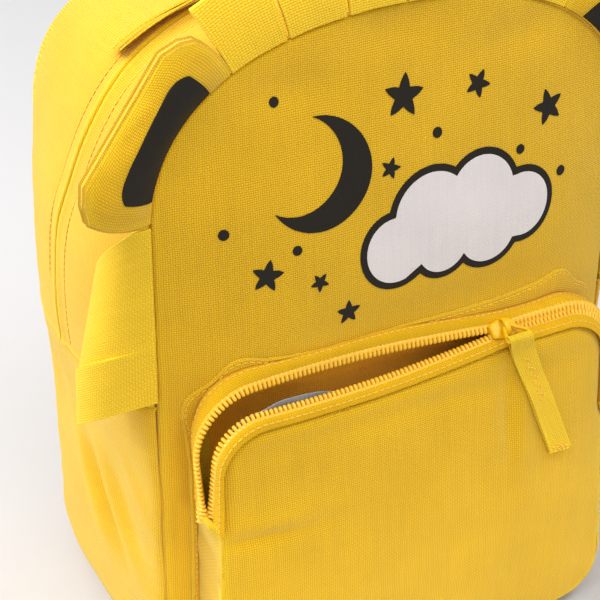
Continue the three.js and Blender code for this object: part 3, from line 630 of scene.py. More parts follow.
def add_sheet(node, surface, inner, material="oxford_cloth", slot="body_cloth",
              uv=None, wear_and_painted_light=None, suffix="_cloth"):
    """Sews the sheet that stands for a node and hides the node. It works out the flat cut's
    lengths and area along the surface, but does nothing with them."""
    mesh = wall(node + suffix, surface, inner, material, uv, wear_and_painted_light)
    piece = add_piece(mesh, slot, node)
    edges = np.linalg.norm(np.diff(surface, axis=1), axis=2).sum(axis=1)
    sides = np.linalg.norm(np.diff(surface, axis=0), axis=2).sum(axis=0)
    across = surface[:-1, 1:] - surface[:-1, :-1]
    along = surface[1:, :-1] - surface[:-1, :-1]
    area = np.linalg.norm(np.cross(across, along), axis=2).sum()
    flat = (round(edges.max() * MM, 4), round(sides.max() * MM, 4))
    area = min(area * MM * MM, flat[0] * flat[1])


def tube_faces(rings, sides, closed=False):
    index = np.arange(rings * sides).reshape(rings, sides)
    rows = np.concatenate((index, index[:1])) if closed else index
    after = np.roll(rows, -1, axis=1)
    faces = np.stack((rows[:-1], after[:-1], after[1:], rows[1:]), -1).reshape(-1, 4).tolist()
    if not closed:
        faces += [index[0, ::-1].tolist(), index[-1].tolist()]
    return faces


def facing_out(points, faces):
    """Turns every face over if the body came out inside out."""
    volume = 0.0
    for face in faces:
        a = points[face[0]]
        for left, right in zip(face[1:-1], face[2:]):
            volume += np.dot(a, np.cross(points[left], points[right]))
    return [face[::-1] for face in faces] if volume < 0 else faces


def tube(name, loops, material, closed=False, crease=40):
    """A skin through section loops, capped at its two ends unless it closes on itself."""
    points = loops.reshape(-1, 3)
    faces = facing_out(points, tube_faces(*loops.shape[:2], closed))
    around = lengths(np.concatenate((loops[0], loops[0, :1])))[:-1]
    along = lengths(loops[:, 0])
    uv = stack(around[None, :], along[:, None])
    return make_mesh(name, points, faces, material, uv, crease=crease)


def round_loops(line, side, up, radius, count):
    """Round section loops about a line, between two directions square to it."""
    angle = ring_angles(count)[:, None]
    side, up = (np.broadcast_to(way, line.shape)[:, None] for way in (side, up))
    return line[:, None] + radius * (side * np.cos(angle) + up * np.sin(angle))


def join_meshes(name, meshes):
    """One mesh from several that share a material."""
    points, faces, uvs = [], [], []
    start = 0
    for mesh in meshes:
        co = np.empty(len(mesh.vertices) * 3)
        mesh.vertices.foreach_get("co", co)
        uv = np.empty(len(mesh.loops) * 2)
        mesh.uv_layers[0].data.foreach_get("uv", uv)
        points.append(co.reshape(-1, 3) / MM)
        faces += [[start + corner for corner in face.vertices] for face in mesh.polygons]
        uvs.append(uv)
        start += len(mesh.vertices)
    whole = make_mesh(name, np.concatenate(points), faces, meshes[0].materials[0].name)
    layer = whole.uv_layers.new(name="weave")
    layer.data.foreach_set("uv", np.concatenate(uvs))
    for mesh in meshes:
        bpy.data.meshes.remove(mesh)
    return whole


def spindle(sections, sides):
    """A small closed round shape along x: rows of x, half width and half height."""
    angle = ring_angles(sides)
    rings = [stack(x, wide * np.cos(angle), high * np.sin(angle)) for x, wide, high in sections]
    faces = []
    for face in tube_faces(len(sections), sides):
        faces += [(face[0], left, right) for left, right in zip(face[1:-1], face[2:])]
    points = np.concatenate(rings)
    return points, np.array(facing_out(points, faces))


def scatter(name, shape, places, material):
    """Copies of one small shape as one mesh; a place is a point and three directions."""
    points, faces = shape
    spot, along, side, up = (np.concatenate(axis) for axis in zip(*places))
    turned = spot[:, None] + points @ np.stack((along, side, up), 1)
    starts = np.arange(len(spot)) * len(points)
    every = (faces[None] + starts[:, None, None]).reshape(-1, faces.shape[1])
    return make_mesh(name, turned.reshape(-1, 3), every, material, crease=80)


def along_line(line, up, pitch):
    """Places at even steps along a line, with their directions."""
    gone = lengths(line)
    count = max(int(gone[-1] / pitch), 1)
    at = (np.arange(count) + 0.5) * gone[-1] / count
    near = 0.4
    spot = walk(line, at, gone)
    along = unit(walk(line, at + near, gone) - walk(line, at - near, gone))
    side = unit(np.cross(walk(np.broadcast_to(up, line.shape), at, gone), along))
    return spot, along, side, np.cross(along, side)


# One stitch: place along it, half its width and half its height, as shares.
STITCH = ((-1, 0.3, 0.2), (-0.75, 0.85, 0.7), (0, 1, 0.9), (0.75, 0.85, 0.7), (1, 0.3, 0.2))


def sew(name, lines, slot="body_cloth", pitch=None, scale=1.0):
    """Rows of stitches: each line has its points and the direction out of the cloth."""
    _, sizes = chosen()
    pitch = sizes.stitch_pitch / MM if pitch is None else pitch
    long, thick = 0.40 * pitch, scale * sizes.thread_width / MM / 2
    sections = np.array(STITCH) * (long, thick, thick)
    places = [along_line(line, up, pitch) for line, up in lines]
    mesh = scatter(name, spindle(sections, 6), places, "sewing_thread")
    return add_piece(mesh, slot)


def settle(piece, sewn, most):
    """Lets the filling swell a padded piece by cloth simulation. Sewn points stay where they
    are, and the others move no further than most."""
    mesh, scene = piece.data, bpy.context.scene
    before = np.empty(3 * len(mesh.vertices))
    mesh.vertices.foreach_get("co", before)
    held = piece.vertex_groups.new(name="sewn")
    held.add(np.flatnonzero(sewn).tolist(), 1.0, "REPLACE")
    cloth = piece.modifiers.new("filling", "CLOTH")
    cloth.settings.quality = 5
    cloth.settings.use_pressure = True
    cloth.settings.uniform_pressure_force = 4.0
    cloth.settings.effector_weights.gravity = 0.0
    cloth.settings.vertex_group_mass = held.name
    first, last = 1, 20
    cloth.point_cache.frame_start, cloth.point_cache.frame_end = first, last
    for step in range(first, last + 1):
        scene.frame_set(step)
    after = np.empty_like(before)
    swollen = piece.evaluated_get(bpy.context.evaluated_depsgraph_get())
    swollen.data.vertices.foreach_get("co", after)
    piece.modifiers.remove(cloth)
    piece.vertex_groups.remove(held)
    scene.frame_set(first)
    move = (after - before).reshape(-1, 3)
    far = np.linalg.norm(move, axis=1, keepdims=True)
    move = move * np.minimum(1, most * MM / np.maximum(far, 1e-9))
    mesh.vertices.foreach_set("co", before + move.ravel())
    mesh.update()


# Materials

def to_linear(code):
    """Linear red, green, blue and alpha of an sRGB hex colour."""
    channels = [int(code[i:i + 2], 16) / 255 for i in (1, 3, 5)]
    curve = [c / 12.92 if c <= 0.04045 else ((c + 0.055) / 1.055) ** 2.4 for c in channels]
    return (*curve, 1.0)


def shade(colour, factor):
    return tuple(min(c * factor, 1.0) for c in colour[:3]) + (1.0,)


def add_node(tree, kind, inputs=None, **settings):
    """Adds a node with its settings; an input is a value, a node or a socket to link."""
    made = tree.nodes.new("ShaderNode" + kind)
    for key, value in settings.items():
        setattr(made, key, value)
    for key, value in (inputs or {}).items():
        if isinstance(value, bpy.types.Node):
            value = value.outputs[0]
        if isinstance(value, bpy.types.NodeSocket):
            tree.links.new(value, made.inputs[key])
        else:
            made.inputs[key].default_value = value
    return made


def new_material(name, **values):
    """A material with values set on its shader."""
    material = bpy.data.materials.new(name)
    material.use_nodes = True
    shader = material.node_tree.nodes["Principled BSDF"]
    for key, value in values.items():
        shader.inputs[key.replace("_", " ")].default_value = value
    return material, material.node_tree, shader


def woven(name, colour, pitch, relief, gap, rough, sheen, aspect=1.0, streak=0.03, weft=0.9,
          gloss=0.2):
    """Plain-woven cloth. Warp and weft floats stand as small ovals turned by a right angle
    from each other, the holes between them are darker, and threads wander. One set of floats
    is a little darker and the other a little paler: painted shade and painted highlight for
    light falling across the two. Where its attribute is above 0 the cloth is paler: rubbed
    wear with a painted highlight on folded edges. Below 0 it is a deeper orange: painted shade
    for light bounced into a shadowed hollow."""
    material, tree, shader = new_material(
        name, Sheen_Weight=sheen, Sheen_Roughness=0.45, Sheen_Tint=to_linear("#ecffcc"),
        Specular_IOR_Level=gloss)
    straight = add_node(tree, "UVMap", uv_map="weave")
    wander = add_node(tree, "TexNoise", {"Vector": straight, "Scale": 90.0, "Detail": 1.0})
    aside = add_node(tree, "VectorMath",
                     {0: wander.outputs["Color"], 3: 1.3 * pitch}, operation="SCALE")
    cloth = add_node(tree, "VectorMath", {0: straight, 1: aside})
    axes = add_node(tree, "SeparateXYZ", {0: cloth})
    waves = []
    for axis, spacing in (("X", pitch), ("Y", pitch * aspect)):
        angle = add_node(tree, "Math",
                         {0: axes.outputs[axis], 1: math.pi / spacing}, operation="MULTIPLY")
        waves.append(add_node(tree, "Math", {0: angle}, operation="SINE"))
    heights = [add_node(tree, "Math", {0: wave}, operation="ABSOLUTE") for wave in waves]
    checker = add_node(tree, "Math", {0: waves[0], 1: waves[1]}, operation="MULTIPLY")
    over = add_node(tree, "Math", {0: checker, 1: 0.0}, operation="GREATER_THAN")
    floats = []
    for narrow, wide in ((heights[0], heights[1]), (heights[1], heights[0])):
        steep = add_node(tree, "Math", {0: narrow, 1: 1.1}, operation="POWER")
        full = add_node(tree, "Math", {0: wide, 1: 0.45}, operation="POWER")
        floats.append(add_node(tree, "Math", {0: steep, 1: full}, operation="MULTIPLY"))
    thread = add_node(tree, "Mix", {0: over, 2: floats[1], 3: floats[0]})
    stretched = add_node(tree, "Mapping",
                         {0: cloth, "Scale": (1 / (1.5 * pitch), 1 / (40 * pitch), 1)})
    slub = add_node(tree, "TexNoise", {"Vector": stretched, "Scale": 1.0, "Detail": 2.0})
    place = add_node(tree, "TexCoord")
    broad = add_node(tree, "TexNoise",
                     {"Vector": place.outputs["Object"], "Scale": 28.0, "Detail": 3.0})
    holes = add_node(tree, "Mix",
                     {0: thread, 6: shade(colour, 1 - gap), 7: shade(colour, 1.06)},
                     data_type="RGBA")
    slubs = add_node(tree, "MapRange", {0: slub, 1: 0.3, 2: 0.7, 3: 1 - streak, 4: 1 + streak})
    tone = add_node(tree, "MapRange", {0: broad, 1: 0.3, 2: 0.7, 3: 0.95, 4: 1.04})
    # One set of floats darker, the other paler: painted shade and painted highlight for the way
    # light falls across each.
    painted_float_shade = add_node(tree, "MapRange", {0: over, 3: weft, 4: 2 - weft})
    toned = holes.outputs[2]
    for factor in (slubs, tone, painted_float_shade):
        toned = add_node(tree, "VectorMath", {0: toned, 3: factor}, operation="SCALE")
    wear_and_painted_light = add_node(tree, "Attribute", attribute_name="wear_and_painted_light")
    # Paler above 0: rubbed wear, with a painted highlight on folded and rolled edges.
    worn_and_lit = add_node(tree, "Mix",
                      {0: wear_and_painted_light.outputs["Fac"], 6: toned, 7: shade(colour, 1.5)}, data_type="RGBA")
    # Deeper orange below 0: painted shade, for light bounced inside a shadowed hollow.
    painted_shade = add_node(tree, "Math", {0: wear_and_painted_light.outputs["Fac"], 1: -1.0}, operation="MULTIPLY")
    deep = (colour[0], 0.64 * colour[1], 0.3 * colour[2], 1.0)
    with_painted_shade = add_node(tree, "Mix", {0: painted_shade, 6: worn_and_lit.outputs[2], 7: deep}, data_type="RGBA")
    tree.links.new(with_painted_shade.outputs[2], shader.inputs["Base Color"])
    coarse = add_node(tree, "MapRange",
                      {0: thread, 1: 0.0, 2: 1.0, 3: min(rough + 0.12, 1), 4: rough})
    tree.links.new(coarse.outputs[0], shader.inputs["Roughness"])
    relieved = add_node(tree, "Bump", {"Height": thread, "Strength": 1.0, "Distance": relief})
    tree.links.new(relieved.outputs[0], shader.inputs["Normal"])
    return material


def solid_finish(name, colour, grain, relief, rough, vary=0.06, **values):
    """A moulded, sprayed or drawn surface with a fine grain and small changes of tone."""
    material, tree, shader = new_material(name, **values)
    place = add_node(tree, "TexCoord")
    fine = add_node(tree, "TexNoise",
                    {"Vector": place.outputs["Object"], "Scale": 1 / grain, "Detail": 3.0})
    broad = add_node(tree, "TexNoise",
                     {"Vector": place.outputs["Object"], "Scale": 0.06 / grain, "Detail": 2.0})
    tone = add_node(tree, "Mix",
                    {0: broad, 6: shade(colour, 1 - vary), 7: shade(colour, 1 + vary)},
                    data_type="RGBA")
    tree.links.new(tone.outputs[2], shader.inputs["Base Color"])
    coarse = add_node(tree, "MapRange", {0: fine, 1: 0.3, 2: 0.7, 3: rough - 0.06, 4: rough + 0.06})
    tree.links.new(coarse.outputs[0], shader.inputs["Roughness"])
    relieved = add_node(tree, "Bump", {"Height": fine, "Strength": 1.0, "Distance": relief})
    tree.links.new(relieved.outputs[0], shader.inputs["Normal"])
    return material


def chosen():
    """Colours and sizes that are set in the sidebar."""
    scene = bpy.context.scene
    return scene.backpack_colours, scene.backpack_sizes


def transfer_film(name, colour, pitch):
    """Heat-pressed polyurethane film: matt and even, with the weave under it just showing."""
    return woven(name, colour, pitch, relief=0.05 * MM, gap=0.05, rough=0.55, sheen=0.0,
                 streak=0.02, weft=0.99, gloss=0.27)


def oxford_cloth(colours, sizes):
    # Polyester oxford, woven from thick dull yarn: a grid of small floats that keeps its
    # colour in the light and is a deeper gold in the holes.
    return woven("oxford_cloth", colours.body_cloth, sizes.weave_pitch, relief=0.23 * MM,
                 gap=0.36, rough=0.75, sheen=0.38, weft=0.96)


def ribbed_webbing(colours, sizes):
    # Polypropylene webbing, woven flat from bright filament: a clear raised grid with a
    # light gloss on its ribs.
    return woven("ribbed_webbing", colours.webbing, sizes.webbing_pitch, relief=0.28 * MM,
                 gap=0.18, rough=0.5, sheen=0.12, aspect=0.85, weft=0.96, gloss=0.3)


def knitted_tape(colours, sizes):
    # Polyester zip tape, knitted close: finer than the cloth and nearly smooth. Its loops,
    # about 0.4 mm, are drawn coarser, so that they show.
    return woven("knitted_tape", colours.zip_tape, 0.7 * sizes.weave_pitch, relief=0.16 * MM,
                 gap=0.3, rough=0.75, sheen=0.1, gloss=0.1)


def lining_cloth(colours, sizes):
    # Plain polyester lining, woven thin: dull grey with faint threads. They are about 0.3 mm
    # and drawn coarser, so that they show.
    return woven("lining_cloth", colours.lining, 0.7 * sizes.weave_pitch, relief=0.1 * MM,
                 gap=0.25, rough=0.8, sheen=0.1)


def nylon_coil(colours, sizes):
    # Nylon monofilament, wound and heat-set: smooth, a little clear, with small highlights.
    return solid_finish("nylon_coil", colours.zip_coil, grain=0.4 * MM, relief=0.01 * MM,
                        rough=0.34, IOR=1.53, Subsurface_Weight=0.15, Subsurface_Scale=1.0 * MM)


def baked_enamel(colours, sizes):
    # Die-cast zinc, sprayed and baked with enamel: satin paint with a soft orange peel.
    return solid_finish("baked_enamel", colours.slider, grain=0.7 * MM, relief=0.03 * MM,
                        rough=0.36, Specular_IOR_Level=0.4)


def moulded_acetal(colours, sizes):
    # Acetal, injection-moulded in a spark-eroded tool: even fine grain, half matt.
    return solid_finish("moulded_acetal", colours.adjuster, grain=0.35 * MM, relief=0.03 * MM,
                        rough=0.42, IOR=1.48)


def sewing_thread(colours, sizes):
    # Spun polyester thread, twisted in three plies: dull, with tiny changes of tone. Its
    # stitches are made thicker than the real 0.5 mm, so that they show.
    return solid_finish("sewing_thread", colours.thread, grain=0.3 * MM, relief=0.06 * MM,
                        rough=0.7, vary=0.12, Sheen_Weight=0.2)


def film_black(colours, sizes):
    # Polyurethane transfer film, pigmented black and pressed on with heat: a flat dark face
    # with a soft gleam at a low angle.
    # Its black is warmed towards brown: painted warm light, bounced from the yellow cloth around
    # it.
    return transfer_film("film_black", colours.film_black, sizes.weave_pitch)


def film_white(colours, sizes):
    # The same film, pigmented off-white: even and opaque, a little warm.
    return transfer_film("film_white", colours.film_white, sizes.weave_pitch)


def studio_paper(colours, sizes):
    # Seamless background paper, rolled and matt: faint felt marks, no gloss.
    return solid_finish("studio_paper", colours.floor, grain=1.5 * MM, relief=0.02 * MM,
                        rough=0.92, vary=0.01)


FINISHES = {
    maker.__name__: maker
    for maker in (
        oxford_cloth, ribbed_webbing, knitted_tape, lining_cloth, nylon_coil, baked_enamel,
        moulded_acetal, sewing_thread, film_black, film_white, studio_paper,
    )
}


def finish(name):
    """The material of that name, made when it is first asked for."""
    return bpy.data.materials.get(name) or FINISHES[name](*chosen())


# Settings

def length(name, description, size):
    return bpy.props.FloatProperty(
        name=name, description=description, default=size * MM, min=0.0, unit="LENGTH", precision=5,
    )


def colour(name, description, code):
    return bpy.props.FloatVectorProperty(
        name=name, description=description, default=to_linear(code), size=4, min=0.0, max=1.0,
        subtype="COLOR",
    )


class BackpackSizes(bpy.types.PropertyGroup):
    """Sizes of the sewn details."""

    weave_pitch: length("Weave Pitch", "Width of one thread of the body cloth", 0.98)
    webbing_pitch: length("Webbing Pitch", "Width of one rib of the webbing", 1.2)
    stitch_pitch: length("Stitch Pitch", "Length of one stitch with its gap", 3.2)
    thread_width: length("Thread Width", "Thickness of the sewing thread", 0.75)
    tooth_pitch: length("Tooth Pitch", "Distance between two teeth of the pocket zip", 2.2)
    outline_width: length("Print Outline", "Width of the black line around the printed cloud", 3.2)


class BackpackColours(bpy.types.PropertyGroup):
    """Colours of the materials."""

    body_cloth: colour("Body Cloth", "Yellow oxford cloth", "#f2bc12")
    webbing: colour("Webbing", "Tabs, straps and pulls", "#fccb1c")
    zip_tape: colour("Zip Tape", "Tape of both zips", "#f3bb18")
    zip_coil: colour("Zip Coil", "Teeth of the pocket zip", "#f4c030")
    slider: colour("Sliders", "Enamel on the sliders and the ring", "#eebe0c")
    lining: colour("Lining", "Cloth inside the pocket", "#9a9a9c")
    adjuster: colour("Adjusters", "Plastic of the strap adjusters", "#f3c42f")
    thread: colour("Thread", "Sewing thread", "#f2bf2c")
    # Black pigment, warmed towards brown as painted bounce light from the yellow cloth.
    film_black: colour("Print Black", "Black transfer film", "#1c160d")
    film_white: colour("Print White", "Off-white transfer film", "#dcd4d0")
    floor: colour("Floor", "Studio paper", "#c7c6c6")


# Body panels

class BACKPACK_OT_front_panel(bpy.types.Operator):
    """Sews the front panel: one cloth that swells out of its seam"""

    bl_idname = "backpack.front_panel"
    bl_label = "Front Panel"

    def execute(self, context):
        x = row_across(HALF, 131)
        base, top = panel_column(x)
        z = lerp(base, top, crowd(151)[:, None])
        points = stack(x, 0, z)
        edge = inset(points)
        points[..., 1] = panel_face(x, z) + roll(edge, 2.6)
        beside, below = POCKET_HALF - np.abs(x), POCKET_TOP + 10 - z
        in_pocket = smoothstep(beside, 0, 8) * smoothstep(below, 0, 6)
        wear_and_painted_light = 0.10 * ridge(edge - 2.4, 1.2) - 0.9 * in_pocket  # paler rolled rim: wear and painted highlight; behind the pocket, painted shade for bounce light
        add_sheet("front_panel", points, points + (0, SKIN, 0),
                  uv=points[..., ::2], wear_and_painted_light=wear_and_painted_light)
        return {"FINISHED"}


class BACKPACK_OT_back_panel(bpy.types.Operator):
    """Sews the padded back panel with its stitched channels"""

    bl_idname = "backpack.back_panel"
    bl_label = "Back Panel"

    def execute(self, context):
        x = row_across(BACK_HALF, 101)
        base, top = panel_column(x, BACK_HALF, BACK_SHOULDER, BACK_HEIGHT, BACK_FULLNESS)
        z = lerp(base, top, crowd(121)[:, None])
        outer = stack(x, BACK_FACE, z)
        edge = inset(outer)
        channels = sum(ridge(x - middle, 2.2) for middle in BACK_CHANNELS)
        inside = smoothstep(edge, 6, 26)
        swell = 1.6 * smoothstep(edge, 0, 30) - 2.4 * channels * inside - roll(edge, 3.0)
        outer[..., 1] += swell + 0.3 * ripple(x, z, 40, 31) * smoothstep(edge, 0, 12)
        inner = stack(x, BACK, z)
        # The rolled rim is paler: wear with a painted highlight.
        wear_and_painted_light = 0.10 * ridge(edge - 3, 1.5)
        mesh = wall("back_panel_pad", outer, inner, "oxford_cloth", outer[..., ::2], wear_and_painted_light)
        piece = add_piece(mesh, "body_cloth", "back_panel")
        sewn = (edge < 5) | (channels > 0.2)
        settle(piece, np.concatenate((sewn.ravel(), np.full(sewn.size, True))), 2.0)
        rows = []
        for middle in BACK_CHANNELS:
            line = outer[:, int(np.argmin(np.abs(x[0] - middle)))]
            at = np.interp(np.linspace(34, 286, 240), line[:, 2], lengths(line))
            rows.append((walk(line, at) + 0.15 * BEHIND, BEHIND))
        sew("back_panel_stitches", rows)
        return {"FINISHED"}


def seam_length(share):
    return np.abs(share) * FRONT_OUTLINE.length


def seam_pinch(v):
    """How far the band is drawn in at its two seams."""
    return -1.1 * np.exp(-v * DEPTH / 1.6) - 1.1 * np.exp(-(1 - v) * DEPTH / 1.6)


def seam_puckers(share, v, seed):
    """Small gathers beside the band's two seams, stronger here and there."""
    along, front, back = share * FRONT_OUTLINE.length, v * DEPTH, (1 - v) * DEPTH
    gathers = ripple(along, 0 * along, 13, seed)
    gathers = gathers * (0.5 + 0.5 * ripple(along, 0 * along, 70, seed + 1))
    near = np.exp(-front / 9) + np.exp(-back / 9)
    return 0.7 * gathers * near * smoothstep(front, 0, 2.5) * smoothstep(back, 0, 2.5)


def zip_at(share):
    return zip_depth(FRONT_OUTLINE.at(share)[1])


class BACKPACK_OT_gussets(bpy.types.Operator):
    """Sews the band around the body: two strips beside the main zip and the lower band"""

    bl_idname = "backpack.gussets"
    bl_label = "Gussets"

    def zip_strip(self, front):
        gap = CROSS_GAP / FRONT_OUTLINE.length
        share = over_top(CROSS_SHARE + gap, np.linspace(0, 1, 361))[None, :]
        slit = ZIP_SLIT / 2 / DEPTH
        edge = zip_at(share) - slit if front else zip_at(share) + slit
        side = SEAM_GAP / DEPTH if front else 1 - SEAM_GAP / DEPTH
        v = lerp(side, edge, crowd(41, 0.8)[:, None])
        to_zip = np.abs(edge - v) * DEPTH
        to_cross = seam_length(share) - CROSS_SHARE * FRONT_OUTLINE.length + 0 * v
        # A fold along the zip, a groove at its stitches, a fold over the cross seam, puckers.
        lift = 0.8 * ridge(to_zip - 1.6, 2.2) - roll(to_zip, 1.3)
        lift = lift - 0.45 * ridge(to_zip - ZIP_STITCH, 1.0)
        lift = lift + 0.7 * ridge(to_cross - 1.6, 2.0) - roll(to_cross, 1.3)
        lift = lift + seam_pinch(v) + seam_puckers(share, v, 41)
        lift = lift + 0.35 * ripple(share * FRONT_OUTLINE.length, v * DEPTH, 44, 43)
        points = band_point(share, v, lift)
        # The folds at the zip and the cross seam are paler: wear with a painted highlight.
        wear_and_painted_light = 0.30 * ridge(to_zip - 1.2, 1.2) + 0.35 * ridge(to_cross - 1.4, 1.4)
        return points, share, edge, wear_and_painted_light

    def execute(self, context):
        rows = []
        for front, node in ((True, "gusset_front"), (False, "gusset_back")):
            points, share, edge, wear_and_painted_light = self.zip_strip(front)
            inner = thicken(points, SKIN * self.facing(points))
            add_sheet(node, points, inner, wear_and_painted_light=wear_and_painted_light)
            beside = ZIP_STITCH / DEPTH * (-1 if front else 1)
            line = band_point(share[0], edge[0] + beside, -0.15)
            above = band_point(share[0], edge[0] + beside, 1.0)
            rows.append((line, unit(above - line)))
        sew("main_zip_stitches", rows)
        self.lower_band()
        self.zip_tape()
        return {"FINISHED"}

    def facing(self, points):
        """1 where a grid's normals point out of the bag, -1 where they point in."""
        middle = np.array((0.0, (FRONT + BACK) / 2, HEIGHT / 2))
        return 1.0 if np.sum(grid_normals(points) * (points - middle)) > 0 else -1.0

    def lower_band(self):
        end = CROSS_SHARE - CROSS_GAP / FRONT_OUTLINE.length
        share = np.linspace(-end, end, 281)[None, :]
        v = lerp(SEAM_GAP / DEPTH, 1 - SEAM_GAP / DEPTH, crowd(73, 0.8)[:, None])
        to_cross = (end - np.abs(share)) * FRONT_OUTLINE.length + 0 * v
        lift = -roll(to_cross, 1.2) + seam_pinch(v) + 1.3 * seam_puckers(share, v, 51)
        lift = lift + 0.4 * ripple(share * FRONT_OUTLINE.length, v * DEPTH, 36, 53)
        points = band_point(share, v, lift)
        inner = thicken(points, SKIN * self.facing(points))
        inner[..., 2] = np.maximum(inner[..., 2], 0.2)  # over the floor
        add_sheet("gusset_bottom", points, inner)

    def zip_tape(self):
        share = over_top(CROSS_SHARE, np.linspace(0, 1, 161))[None, :]
        half = ZIP_BAND / 2 / DEPTH
        v = zip_at(share) + lerp(-half, half, np.linspace(0, 1, 15)[:, None])
        points = band_point(share, v, -2.9)
        inner = thicken(points, self.facing(points))
        add_sheet("main_zip", points, inner, "knitted_tape",
                  "zip_tape", suffix="_tape")


# Pocket

class BACKPACK_OT_pocket(bpy.types.Operator):
    """Sews the front pocket: its front, side strip, stitched-down strip and lining"""

    bl_idname = "backpack.pocket"
    bl_label = "Pocket"

    def front(self):
        x = row_across(POCKET_HALF - 0.3, 131)
        base, top = pocket_column(x)
        hem = 1 - POCKET_HEM / (top - base)
        share = crowd(111)[:, None] * hem
        points = pocket_face(x, share)
        edge = inset(points[..., ::2])
        below = (hem - share) * (top - base)
        gathers = ripple(x, 0 * x, 9, 61) * (0.6 + 0.5 * ripple(x, 0 * x, 45, 62))
        under_tape = smoothstep(points[..., 2], ZIP_END - 8, ZIP_END + 2)
        points[..., 1] += roll(edge, 2.4) + 3.2 * ridge(edge, 3.6) * under_tape
        points[..., 1] += 0.55 * gathers * np.exp(-below / 7) * smoothstep(edge, 0, 3)
        # The rolled edge is paler: wear with a painted highlight.
        wear_and_painted_light = 0.16 * ridge(edge - 1.8, 1.3)
        add_sheet("pocket_front", points, points + (0, SKIN, 0),
                  uv=points[..., ::2], wear_and_painted_light=wear_and_painted_light)

    def side_strip(self):
        end = ZIP_SHARE + 5.0 / POCKET_EDGE.length
        share = np.linspace(-end, end, 381)[None, :]
        across = lerp(0.01, 0.985, crowd(21, 0.7)[:, None])
        to_end = (end - np.abs(share)) * POCKET_EDGE.length + 0 * across
        _, _, out_x, out_z = POCKET_EDGE.at(share)
        over_zip = smoothstep(across, 0.3, 0.6) * smoothstep(1 - across, 0, 0.2)
        # Swollen at the base, caved in at the sides, and lifted over the ends of the zip.
        cave = smoothstep(np.abs(out_x), 0.6, 1) * smoothstep(to_end, 8, 34)
        puff = lerp(2.2, -2.2, cave) * np.sin(np.pi * across)
        puff = puff + 3.4 * over_zip * smoothstep(14 - to_end, 0, 12) - roll(to_end, 1.4)
        puff = puff + 0.5 * ripple(share * POCKET_EDGE.length, across * 20, 21, 65)
        points = lerp(attach_point(share, lift=0.2), edge_point(share, 0), across[..., None])
        points = points + stack(out_x * puff, 0, out_z * puff)
        points[..., 2] = np.maximum(points[..., 2], 0.6)
        above = points[..., 2] - (POCKET_BASE + POCKET_TOP) / 2
        inner = thicken(points, SKIN * np.sign(np.sum(grid_normals(points)[..., 2] * above)))
        inner[..., 2] = np.maximum(inner[..., 2], 0.8)
        # The folded ends and edge are paler: wear with a painted highlight.
        wear_and_painted_light = 0.3 * ridge(to_end - 1.2, 1.2) + 0.2 * ridge((0.985 - across) * 26 - 0.8, 1.2)
        add_sheet("pocket_gusset", points, inner, wear_and_painted_light=wear_and_painted_light)

    def flange(self):
        k = np.linspace(0, 1, 381)[None, :]
        across = crowd(25, 0.7)[:, None]
        share = over_top(FLANGE_END, k)
        drop = seam_drop(share)
        shown, hidden = 1.25 * flange_width(k) - 0.7, 6.0 + drop
        outward = lerp(-hidden, shown, across)
        to_edge = shown - outward
        lift = lerp(0.25, 1.5, smoothstep(outward + drop, -1.2, 0.8))
        lift = lift - roll(to_edge, 1.0) - 0.4 * ridge(to_edge - 2.0, 0.8)
        points = attach_point(share, outward, lift)
        # Its folded edge is paler: wear with a painted highlight.
        add_sheet("pocket_flange", points, attach_point(share, outward, 0.1),
                  wear_and_painted_light=0.12 * ridge(to_edge - 1, 1))
        line = attach_point(share[0], shown[0] - 2.0, 1.2)
        sew("pocket_flange_stitches", [(line, FORWARD)])

    def lining(self):
        track = track_point(RUNS, LOWER)
        x = row_across(POCKET_HALF - 8, 91)
        share = np.linspace(0, 1, 61)[:, None]
        base, edge = pocket_column(x)
        shown = 6.0 * ridge(x + 64, 22) - 2.4  # it peeps out at the open end
        top = np.interp(x, track[:, 0], track[:, 2]) + shown
        z = lerp(base + 4, top, share)
        near = pocket_depth(x, np.minimum(z, edge)) + CLOTH + 0.9
        behind = np.interp(x, track[:, 0], track[:, 1]) + 2.6 + 0.6 * ripple(x, z, 17, 71)
        y = lerp(near, np.maximum(near, behind), smoothstep(share, 0.86, 1))
        points = stack(x, y, z)
        add_sheet("pocket_lining", points, points + (0, 0.8, 0), "lining_cloth",
                  "pocket_lining", points[..., ::2])

    def execute(self, context):
        self.front()
        self.side_strip()
        self.flange()
        self.lining()
        return {"FINISHED"}


def upper_seam(run):
    share = over_top(ZIP_SHARE, run)
    return attach_point(share, -seam_drop(share), 0.6)


def lower_seam(run):
    """Where the lower tape is turned in, just over the edge of the pocket's front."""
    share = over_top(ZIP_SHARE, run)
    over = np.maximum(POCKET_EDGE.at(share)[3], 0)
    return edge_point(share, (edge_sag(run) + POCKET_HEM) * over + 1.2) + (0, -0.8, 0)


ZIP_HALVES = {
    "upper": {"half": UPPER, "other": LOWER, "seam": upper_seam},
    "lower": {"half": LOWER, "other": UPPER, "seam": lower_seam},
}
TAPE_SWELL = {"upper": 2.4, "lower": 1.5}
TOOTH_SHIFT = {"upper": 0.25, "lower": 0.75}  # share of a pitch, so that the teeth mesh
# One tooth, from its tape to its head: place along it, half its width, half its height.
TOOTH = ((-3.1, 0.4, 0.6), (-2.6, 0.84, 1.2), (-0.6, 0.9, 1.55),
         (1.0, 0.92, 1.5), (1.9, 0.84, 1.2), (2.4, 0.45, 0.5))
COIL_CORE = 1.3  # radius of the cord inside the coil


def zip_frame(run, half, other, seam):
    """Places on a zip half, with the directions along it, to its free edge and out of it."""
    spot = track_point(run, half)
    along = unit(track_point(run + 0.002, half) - track_point(run - 0.002, half))
    shut = 1 - smoothstep(zip_opening(run), CLOSED, CLOSED + 3)
    out = lerp(unit(spot - seam(run)), unit(track_point(run, other) - spot), shut[:, None])
    out = unit(out - along * np.sum(out * along, axis=1, keepdims=True))
    return spot, along, out, np.cross(along, out)


